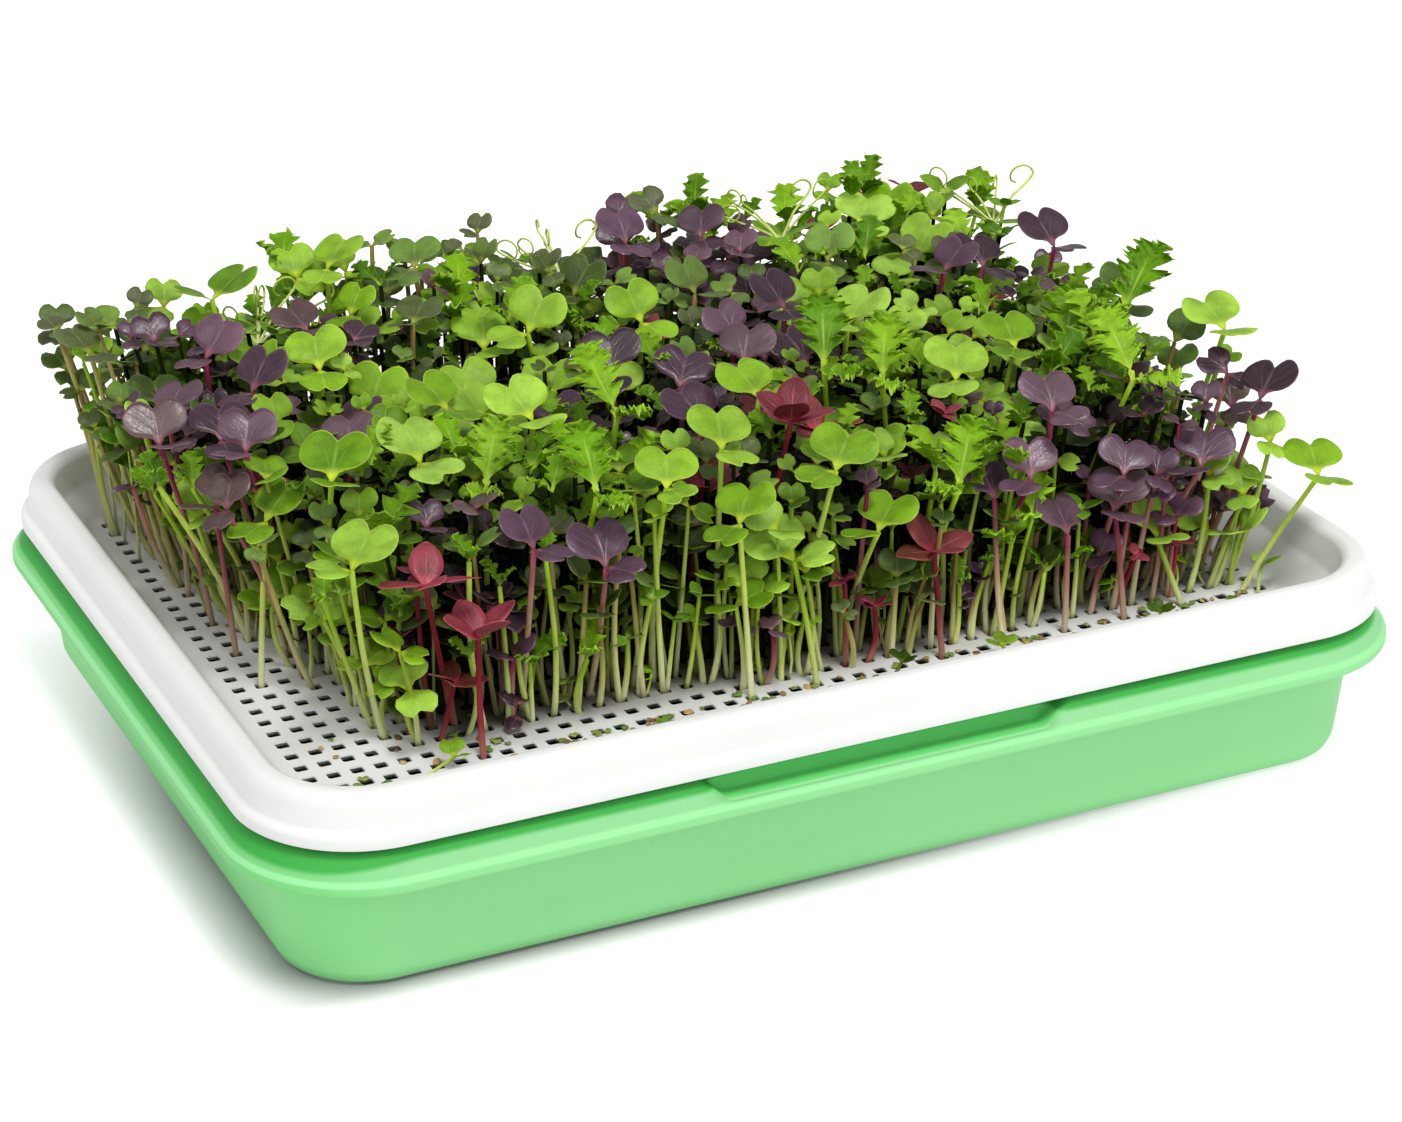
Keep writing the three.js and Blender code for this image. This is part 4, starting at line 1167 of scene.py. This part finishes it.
def add_filler(sheaf, sprout, roll):
    """A thin seedling, with painted shade the deeper and lower it stands; the lowest ones are the thinnest.
    """
    tone = np.array([roll(), roll(), 0.0])
    x, y = sprout["hole"]
    inside = sprout["inside"]
    low = sprout["leaves"][0]["half"] == "speck"
    # Painted shade: the low ones take the darker tones and less of the brightening.
    if low:
        tone *= (0.6, 0.4, 1.0)
    # Painted shade that deepens the further in and the lower the crown stands.
    depth = part_way(inside, 4, DEEP_INSIDE) * part_way(sprout["top"][2], 99, 82)
    tone[2] = depth * roll(0.6, 1.0)
    foot = (x + roll(-0.5, 0.5), y + roll(-0.5, 0.5), FLOOR_UNDER - 0.6)
    top = np.array(sprout["top"]) - [0, 0, 0.2]
    line = stem_curve(foot, top, roll(-3.0, 3.0), roll(0, ALL_ROUND), 4 if low else 7)
    thick = roll(0.45, 0.6) if low else roll(0.75, 1.05)
    radii = np.linspace(thick, thick * 0.72, len(line))
    # Stems deep in the stand take the shaded stem material: painted shade.
    slot = SHADED_SLOT if inside > DEEP_INSIDE else STEM_SLOT
    add_tube(sheaf, line, radii, 4 if low else 6, tone, slot)
    add_blades(sheaf, sprout["leaves"], tone, roll, LIGHT_TEMPLATES, LIGHT_THICKNESS)


def grow_understory():
    """Short, small-leaved seedlings that close the stand below its canopy and clutter its edges."""
    low = {kind: [] for kind in KINDS}
    for x, y, i, j in FINE_HOLES:
        roll = dice(LOW_SEED + 100 * j + i)
        inside = from_edge(x, y)
        if inside < -3 or roll() > (0.62 if y > 60 or x > 112 else 0.5 if inside > 6 else 0.25):
            continue
        tall = inside > 9 or y > 60 or (x > 112 and y > -60)
        kind = pick(roll, LOW_KINDS)
        height = roll(54, 98 if y > 70 else 88) if tall else roll(44, 60)
        wide = roll(6.5, 11) if tall else roll(3, 5.5)
        top = (x + roll(-4, 4), y + roll(-4, 4), height)
        leaves = []
        for k in range(4 if tall else 3):
            at = (top[0], top[1], top[2] - roll(0, 5) * (k > 1))
            leaves.append(make_leaf(at, roll(0, 360), roll(-18, 48), roll(-25, 25),
                                    wide * roll(0.7, 1.1), 1.15, 0.15, 0.2, "speck"))
        if all(clear_of_walls(leaf) for leaf in leaves):
            hole = (x + LOW_STRAY, y + LOW_STRAY)
            low[kind].append({"hole": hole, "top": top, "leaves": leaves, "inside": inside})
    return low


def build_fillers(fillers, label):
    """Joined by kind, in pieces of PIECE_SPROUTS seedlings."""
    for k, (kind, sprouts) in enumerate(fillers.items()):
        for part, start in enumerate(range(0, len(sprouts), PIECE_SPROUTS), 1):
            roll = dice(PIECE_SEED + part + 10 * k)
            sheaf = Sheaf()
            for sprout in sprouts[start:start + PIECE_SPROUTS]:
                add_filler(sheaf, sprout, roll)
            piece = sheaf.build(f"{label}_{kind}_{part}", [LEAVES[kind], STEMS[kind], SHADED_STEM])
            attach(piece, "root")


# ---- trays ----
# Section points as the solids have them: inset from the flange's outline, height.
WATER_SECTION = [
    (17, 0), (13.7, 1.2), (12.5, 4), (9.5, 32.4), (0.7, 32.7), (0, 33.4), (0, 35.8), (1.2, 36.8),
    (5, 41.8), (6.2, 42.8), (7.6, 43.1), (8.6, 42.6), (9.2, 41), (9.4, 36), (11.8, 30), (14.6, 4.6),
    (16, 2.6), (17.6, 2.2),
]
# Where the rows of the section go at the finger recesses.
RECESS_ROWS = {
    8: (3.3, 36.2), 9: (4.0, 36.5), 10: (9.4, 36.5), 11: (10.4, 37.7), 12: (11.0, 42.6), 13: (12.6, 41.6),
    14: (12.4, 35.0),
}
GROW_SECTION = [
    (24.6, 38.4), (21.5, 39.4), (14.4, 48.2), (12.6, 55.2), (11.6, 56.2), (8.9, 56.2), (7.9, 54.8),
    (7.5, 47.6), (5.0, 46.8), (4.9, 44), (3.4, 44), (3.4, 47.6), (5.6, 48.4), (6.3, 54.8), (7.4, 57),
    (9.2, 57.8), (12.2, 57.7), (13.8, 56.4), (16, 48.6), (23, 40.7), (24.4, 40),
]
RIB_SECTION = [
    (7.2, 43.7), (15, 43.7), (15.2, 48.2), (13.2, 56), (12, 57), (8.2, 57), (7.1, 54.8), (6.8, 48.2),
]
RIB_THICKNESS = 1.6
SECTION_ROUNDING = 0.9
FINE_CORNER_STEPS = 20
# How far from the middle of a long side its finger recess is full, and where it ends.
RECESS_REACH = (45.0, 55.0)
# The middle and radius of the floor's round corners, past which there are no holes.
FLOOR_CORNER_X, FLOOR_CORNER_Y, FLOOR_CORNER = 131.0, 91.0, 13.0
# Within these the stand hides the holes' cut corners.
HIDDEN_X, HIDDEN_Y = 112.0, 62.0
# A hole from below upwards: height, width, corner cut. It flares under a thin lip with a worn edge.
HOLE_LEVELS = ((38.4, 5.0, 0.9), (39.6, 3.3, 0.4), (40.0, 3.6, 0.55))
# The bottom and the top of the water: inset, height.
WATER_LEVELS = ((15.2, 5.2), (12.6, 29.0))


def rounded(section, radius, steps=3):
    """The section with its corners rounded."""
    points = [section[0]]
    for corner in zip(section, section[1:], section[2:]):
        a, b, c = (np.array(place, float) for place in corner)
        to_a, to_c = np.linalg.norm(a - b), np.linalg.norm(c - b)
        reach = min(radius, 0.42 * to_a, 0.42 * to_c)
        start, end = b + (a - b) / to_a * reach, b + (c - b) / to_c * reach
        for k in range(steps + 1):
            t = k / steps
            points.append(tuple((1 - t) ** 2 * start + 2 * t * (1 - t) * b + t * t * end))
    return [*points, section[-1]]


def outline_stations():
    """Places round the flange's outline: centre of the corner arc or straight place, and outward way."""
    half_x, half_y = FLANGE_LENGTH / 2 - FLANGE_CORNER, FLANGE_WIDTH / 2 - FLANGE_CORNER
    quarter = math.pi / 2
    long_side = [-half_x, -90, -70, -60, *np.linspace(-56, -44, 13), -30, -15, 0]
    long_side += [-x for x in long_side[-2::-1]]
    short_side = np.linspace(-half_y, half_y, 9)
    turns = [quarter * k / FINE_CORNER_STEPS for k in range(FINE_CORNER_STEPS)]
    return [
        *((x, -half_y, -quarter) for x in long_side[:-1]),
        *((half_x, -half_y, turn - quarter) for turn in turns),
        *((half_x, y, 0.0) for y in short_side[:-1]),
        *((half_x, half_y, turn) for turn in turns),
        *((x, half_y, quarter) for x in long_side[:0:-1]),
        *((-half_x, half_y, turn + quarter) for turn in turns),
        *((-half_x, y, math.pi) for y in short_side[:0:-1]),
        *((-half_x, -half_y, turn + math.pi) for turn in turns),
    ]


STATIONS = outline_stations()


def section_point(station, inset, z):
    """A point of the section, put up at one station of the outline."""
    x, y, side = station
    reach = FLANGE_CORNER - inset
    return (x + reach * math.cos(side), y + reach * math.sin(side), z)


def recess_depth(station):
    """0 outside the finger recess, 1 along its middle, on both long sides."""
    x, _, side = station
    if abs(abs(side) - math.pi / 2) > 0.01:
        return 0.0
    t = part_way(abs(x), RECESS_REACH[1], RECESS_REACH[0])
    return t * t * (3 - 2 * t)


def shell_rings(section, recess):
    """Rings of points, one per station, each with the whole section, moved where the recess is."""
    plain = rounded(section, SECTION_ROUNDING)
    sunk = rounded([recess.get(i, place) for i, place in enumerate(section)], SECTION_ROUNDING)
    rings = []
    for station in STATIONS:
        depth = recess_depth(station)
        rings.append([section_point(station, a + (a2 - a) * depth, z + (z2 - z) * depth)
                      for (a, z), (a2, z2) in zip(plain, sunk)])
    return np.array(rings)


def ring_walls(rings):
    """The faces between neighbouring rings."""
    count, width = rings.shape[:2]
    index = np.arange(count * width).reshape(count, width)
    after = np.roll(index, -1, axis=0)
    return np.stack([index[:, :-1], after[:, :-1], after[:, 1:], index[:, 1:]], axis=-1).reshape(-1, 4)


def mesh_piece(name, points, faces, material, smooth_angle):
    """One object from points in millimetres, with smooth shading up to the angle."""
    mesh = bpy.data.meshes.new(name)
    corners = [tuple(int(k) for k in face) for face in faces]
    mesh.from_pydata([tuple(np.array(p) * MM) for p in points], [], corners)
    bm = bmesh.new()
    bm.from_mesh(mesh)
    bmesh.ops.remove_doubles(bm, verts=bm.verts, dist=1e-6)
    bmesh.ops.recalc_face_normals(bm, faces=bm.faces)
    bm.to_mesh(mesh)
    bm.free()
    mesh.polygons.foreach_set("use_smooth", np.ones(len(mesh.polygons), bool))
    mesh.set_sharp_from_angle(angle=math.radians(smooth_angle))
    mesh.materials.append(material)
    return put_in_scene(name, mesh)


def flat_fill(loop, z, holes, size, corner):
    """A flat sheet inside the loop with square, slightly rounded holes; gives points and triangles."""
    points = [Vector((p[0], p[1])) for p in loop]
    edges = [(i, (i + 1) % len(loop)) for i in range(len(loop))]
    for x, y in holes:
        start = len(points)
        outline = hole_outline(x, y, size, corner)
        points += [Vector(p) for p in outline]
        edges += [(start + i, start + (i + 1) % len(outline)) for i in range(len(outline))]
    found, _, faces, *_ = delaunay_2d_cdt(points, edges, [], 0, 1e-5)
    kept = []
    for face in faces:
        middle = sum((found[k] for k in face), Vector((0, 0))) / len(face)
        if inside_loop(middle, loop) and not inside_hole(middle, size):
            kept.append(face)
    return [(p.x, p.y, z) for p in found], kept


def hole_outline(x, y, size, corner):
    """Eight points round a hole, or four where the stand hides it."""
    h, c = size / 2, size / 2 - corner
    if abs(x) < HIDDEN_X and abs(y) < HIDDEN_Y:
        return [(x - h, y - h), (x + h, y - h), (x + h, y + h), (x - h, y + h)]
    return [(x - c, y - h), (x + c, y - h), (x + h, y - c), (x + h, y + c),
            (x + c, y + h), (x - c, y + h), (x - h, y + c), (x - h, y - c)]


def inside_hole(p, size):
    """Whether the point lies in one of the regular floor holes."""
    i, j = round(p.x / FINE_PITCH_X), round(p.y / FINE_PITCH_Y)
    if abs(i) > HALF_COLUMNS or abs(j) > HALF_ROWS or not hole_open(i, j):
        return False
    return max(abs(p.x - i * FINE_PITCH_X), abs(p.y - j * FINE_PITCH_Y)) < size / 2


def hole_open(i, j):
    """The grid leaves out the places under the floor's round corners."""
    x, y = abs(i * FINE_PITCH_X), abs(j * FINE_PITCH_Y)
    return math.hypot(max(x - FLOOR_CORNER_X, 0), max(y - FLOOR_CORNER_Y, 0)) < FLOOR_CORNER


def inside_loop(p, loop):
    """Whether the point lies inside a round-cornered loop of the tray's outline."""
    half_x, half_y = loop[:, 0].max(), loop[:, 1].max()
    radius = FLANGE_CORNER - (FLANGE_LENGTH / 2 - half_x)
    dx, dy = abs(p.x) - (half_x - radius), abs(p.y) - (half_y - radius)
    if dx > 0 and dy > 0:
        return math.hypot(dx, dy) < radius
    return abs(p.x) < half_x and abs(p.y) < half_y


def build_water_tray():
    """The lower tray: its swept section, closed by a flat underside and a flat inner floor."""
    rings = shell_rings(WATER_SECTION, RECESS_ROWS)
    points = list(rings.reshape(-1, 3))
    faces = list(ring_walls(rings))
    count, width = rings.shape[:2]
    for place, step in ((0, -1), (width - 1, 1)):
        middle = len(points)
        points.append(np.array([0.0, 0.0, rings[0, place, 2]]))
        for k in range(count):
            ends = (k * width + place, (k + 1) % count * width + place)
            faces.append((*ends[::step], middle))
    piece = mesh_piece("water_tray_fine", points, faces, GREEN_PLASTIC, 40.0)
    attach(piece, "root")
    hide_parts("water_tray")


def build_water():
    """Still water that stands in the lower tray, near black as painted shade for the space under the floor.
    """
    points = [section_point(station, *level) for level in WATER_LEVELS for station in STATIONS]
    points += [(0, 0, z) for _, z in WATER_LEVELS]
    count = len(STATIONS)
    low, high = 2 * count, 2 * count + 1
    faces = []
    for k in range(count):
        after = (k + 1) % count
        faces += [(k, after, count + after, count + k), (after, k, low), (count + k, count + after, high)]
    n = Nodes("dark_water")
    water_patches = n.noise(n.place(), 40.0, 3.0)
    colour = n.mix(n.span(water_patches, 0.3, 0.7), (14, 18, 10), (26, 30, 16))
    shader = n.surface(colour, 0.2, n.bump(water_patches, 0.1, 0.0005))
    piece = mesh_piece("water", points, faces, n.finish(shader), 30.0)
    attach(piece, "root")


def add_walls(faces, start, count):
    """Walls between two loops of points that follow each other."""
    for k in range(count):
        a, b = start + k, start + (k + 1) % count
        faces.append((a, b, b + count, a + count))


def add_ribs(points, faces):
    """Stiffening ribs under the rolled rim, which rest on the lower tray's edge."""
    spots = [(x, side * FLANGE_WIDTH / 2, 0) for x in (-115, -72, 72, 115) for side in (-1, 1)]
    spots += [(side * FLANGE_LENGTH / 2, y, 1) for y in (-68, 0, 68) for side in (-1, 1)]
    count = len(RIB_SECTION)
    for x, y, end in spots:
        start = len(points)
        for half in (-RIB_THICKNESS / 2, RIB_THICKNESS / 2):
            for inset, z in RIB_SECTION:
                if end:
                    points.append((x - math.copysign(inset, x), y + half, z))
                else:
                    points.append((x + half, y - math.copysign(inset, y), z))
        faces.append(tuple(range(start, start + count)))
        faces.append(tuple(range(start + 2 * count - 1, start + count - 1, -1)))
        add_walls(faces, start, count)


def build_grow_tray():
    """The perforated tray: rolled rim, sloping wall and the floor with its flared holes."""
    rings = shell_rings(GROW_SECTION, {})
    points = list(rings.reshape(-1, 3))
    faces = list(ring_walls(rings))
    centres = [(i * FINE_PITCH_X, j * FINE_PITCH_Y) for i in range(-HALF_COLUMNS, HALF_COLUMNS + 1)
               for j in range(-HALF_ROWS, HALF_ROWS + 1) if hole_open(i, j)]
    for place, level in ((0, HOLE_LEVELS[0]), (-1, HOLE_LEVELS[-1])):
        found, kept = flat_fill(rings[:, place, :2], rings[0, place, 2], centres, *level[1:])
        start = len(points)
        points += found
        faces += [tuple(start + k for k in face) for face in kept]
    for x, y in centres:
        for levels in zip(HOLE_LEVELS, HOLE_LEVELS[1:]):
            start = len(points)
            for z, size, corner in levels:
                points += [(*place, z) for place in hole_outline(x, y, size, corner)]
            add_walls(faces, start, (len(points) - start) // 2)
    add_ribs(points, faces)
    piece = mesh_piece("grow_tray_fine", points, faces, WHITE_PLASTIC, 30.0)
    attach(piece, "root")
    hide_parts("grow_tray")


# ---- floor litter ----
LITTER_SEED = 77
LITTER_TOP = FLOOR_TOP + 0.65
HUSKS, SCRAPS = 80, 90
# Place and heading of the fallen seedlings.
FALLEN = (
    (138, -88, 30), (132, -98, 200), (118, -101, 160), (-118, -92, 20), (52, -99, 100), (141, -60, 80),
    (-60, -96, 300), (96, -97, 45), (12, -97, 10),
)


def litter_spot(roll):
    """Mostly on the open strips along the near side, the near left corner and the ends."""
    choice = roll()
    if choice < 0.5:
        return roll(-80, 136), -84 - 12 * roll() * roll()
    if choice < 0.6:
        return roll(-136, -84), roll(-96, -60)
    if choice < 0.8:
        return roll(134, 143), roll(-100, 90)
    return roll(-140, 140), roll(-84, 96)


def build_litter():
    """Seed coats and torn leaves."""
    roll = dice(LITTER_SEED)
    sheaf = Sheaf()
    for k in range(HUSKS + SCRAPS):
        at = (*litter_spot(roll), LITTER_TOP)
        if k < HUSKS:
            size = roll(1.2, 2.1)
            azimuth, rise, turn = roll(0, 360), roll(-4, 10), roll(-20, 20)
            bit = make_leaf(at, azimuth, rise, turn, size, 1.3, roll(-0.5, -0.3), 0.25, "oval")
            add_leaf(sheaf, bit, np.array([roll(0.0, 0.62), roll(), roll()]), "speck", 0.22)
        else:
            size = roll(1.5, 3.2)
            azimuth, rise, turn = roll(0, 360), roll(0, 8), roll(-8, 8)
            bit = make_leaf(at, azimuth, rise, turn, size, 0.9, 0.1, 0.05, "small_heart")
            add_leaf(sheaf, bit, np.array([roll(0.7, 1.0), roll(), roll()]), "tiny_heart", 0.25)
    piece = sheaf.build("floor_litter", [LITTER])
    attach(piece, "root")


def build_fallen():
    """Short seedlings lying or standing low at the edge of the stand."""
    roll = dice(LITTER_SEED + 1)
    sheaf = Sheaf()
    for x, y, heading in FALLEN:
        way = math.radians(heading)
        reach = roll(7, 14)
        top = (x + reach * math.cos(way), y + reach * math.sin(way) * 0.6, FLOOR_TOP + roll(2.5, 9))
        top = (min(max(top[0], -141), 141), min(max(top[1], -101), 101), top[2])
        line = stem_curve((x, y, FLOOR_TOP + 0.2), top, roll(-1.5, 1.5), way + 1.57, 6)
        tone = np.array([roll(), roll(), roll()])
        add_tube(sheaf, line, np.linspace(0.6, 0.45, len(line)), 6, tone, STEM_SLOT)
        for turn in (-55, 60):
            leaf = make_leaf(top, heading + turn, roll(5, 40), roll(-20, 20),
                             roll(4.5, 7.0), 0.9, 0.2, 0.1, "small_heart")
            add_leaf(sheaf, leaf, tone, "tiny_heart", 0.28)
    piece = sheaf.build("fallen_seedlings", [LEAVES["bright_radish"], STEMS["bright_radish"], ROOTS])
    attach(piece, "root")


# ---- floor, light and camera ----
WHITE = (1.0, 1.0, 1.0, 1.0)
STUDIO_REACH = 6.0
BASE_CORNER = 0.02
BASE_INSET = 0.014
SHADE_WIDTH = 0.023
CAMERA_PLACE = (-0.3920, -0.8351, 0.4657)
CAMERA_PITCH, CAMERA_YAW = math.radians(24.707), math.radians(25.468)
CAMERA_LENS = 90.89


def build_floor():
    """A pale glowing studio floor with a painted shadow beside the tray, deepest on the side away from the
    light.
    """
    n = Nodes("studio_floor")
    haze = n.noise(n.place(), 1.5, 2.0)
    colour = n.mix(n.span(haze, 0.3, 0.7), (0.36, 0.36, 0.36, 1.0), (0.38, 0.38, 0.38, 1.0))
    x, y, _ = n.node("SeparateXYZ", {0: n.place()}).outputs
    past_x, past_y = (n.most(n.less(n.size(c), reach / 2 * MM - BASE_INSET - BASE_CORNER), 0.0)
                      for c, reach in ((x, FLANGE_LENGTH), (y, FLANGE_WIDTH)))
    past_y = n.add(past_y, n.most(n.less(past_y, BASE_CORNER), 0.0))
    away = n.math("SQRT", n.add(n.times(past_x, past_x), n.times(past_y, past_y)))
    # Painted shadow: near the base the glow drops, almost to nothing at the near left and least at the far
    # right.
    lee = n.add(n.times(x, -0.7), n.times(y, -0.9))
    beside = n.span(lee, -0.02, 0.14, 0.7, 0.02)
    covered = n.span(away, BASE_CORNER - 0.005, BASE_CORNER - 0.002, 0.4, beside)
    glow = n.span(away, BASE_CORNER - 0.002, BASE_CORNER + SHADE_WIDTH, covered, 0.78)
    shader = n.surface(colour, 0.8, Emission_Strength=glow, Emission_Color=WHITE, Specular_IOR_Level=0.1)
    mesh = bpy.data.meshes.new("studio_floor")
    corners = [(x * STUDIO_REACH, y * STUDIO_REACH, 0) for x, y in ((-1, -1), (1, -1), (1, 1), (-1, 1))]
    mesh.from_pydata(corners, [], [(0, 1, 2, 3)])
    mesh.materials.append(n.finish(shader))
    floor = put_in_scene("studio_floor", mesh)


def add_sun(name, direction, strength, spread, colour=(1.0, 1.0, 1.0)):
    """A wide soft source, far away in the given direction from the tray."""
    data = bpy.data.lights.new(name, "SUN")
    data.energy = strength
    data.angle = math.radians(spread)
    data.color = colour
    light = put_in_scene(name, data)
    light.location = direction
    light.rotation_euler = Vector(direction).to_track_quat("Z", "Y").to_euler()


def build_light():
    """A white world, a high key light and two fills."""
    world = bpy.data.worlds.new("studio")
    world.use_nodes = True
    background = world.node_tree.nodes["Background"]
    background.inputs["Color"].default_value = WHITE
    background.inputs["Strength"].default_value = 0.5
    bpy.context.scene.world = world
    bpy.context.scene.view_settings.view_transform = "Standard"
    add_sun("key", (0.0, -0.42, 1.0), 1.9, 16.0, (1.0, 0.99, 0.96))
    add_sun("left_fill", (-0.9, -0.3, 1.2), 0.65, 50.0)
    add_sun("front_fill", (0.3, -1.0, 0.6), 0.8, 45.0)


def build_camera():
    """The photo's point of view."""
    data = bpy.data.cameras.new("camera")
    data.sensor_width = 36.0
    data.lens = CAMERA_LENS
    data.clip_end = 50.0
    camera = put_in_scene("camera", data)
    camera.location = CAMERA_PLACE
    level = math.cos(CAMERA_PITCH)
    forward = Vector((math.sin(CAMERA_YAW) * level, math.cos(CAMERA_YAW) * level, -math.sin(CAMERA_PITCH)))
    camera.rotation_euler = forward.to_track_quat("-Z", "Y").to_euler()
    bpy.context.scene.camera = camera


def main():
    """Builds the studio, both trays, the water, the stand and the litter."""
    build_camera()
    build_floor()
    build_light()
    build_water_tray()
    build_water()
    build_grow_tray()
    grown, anchors = grow_bunches()
    for k, bunch in enumerate(grown):
        build_bunch(bunch, BUNCH_SEED + k)
    build_fillers(grow_fillers(grown, anchors), "small")
    build_fillers(grow_understory(), "low")
    build_litter()
    build_fallen()


main()
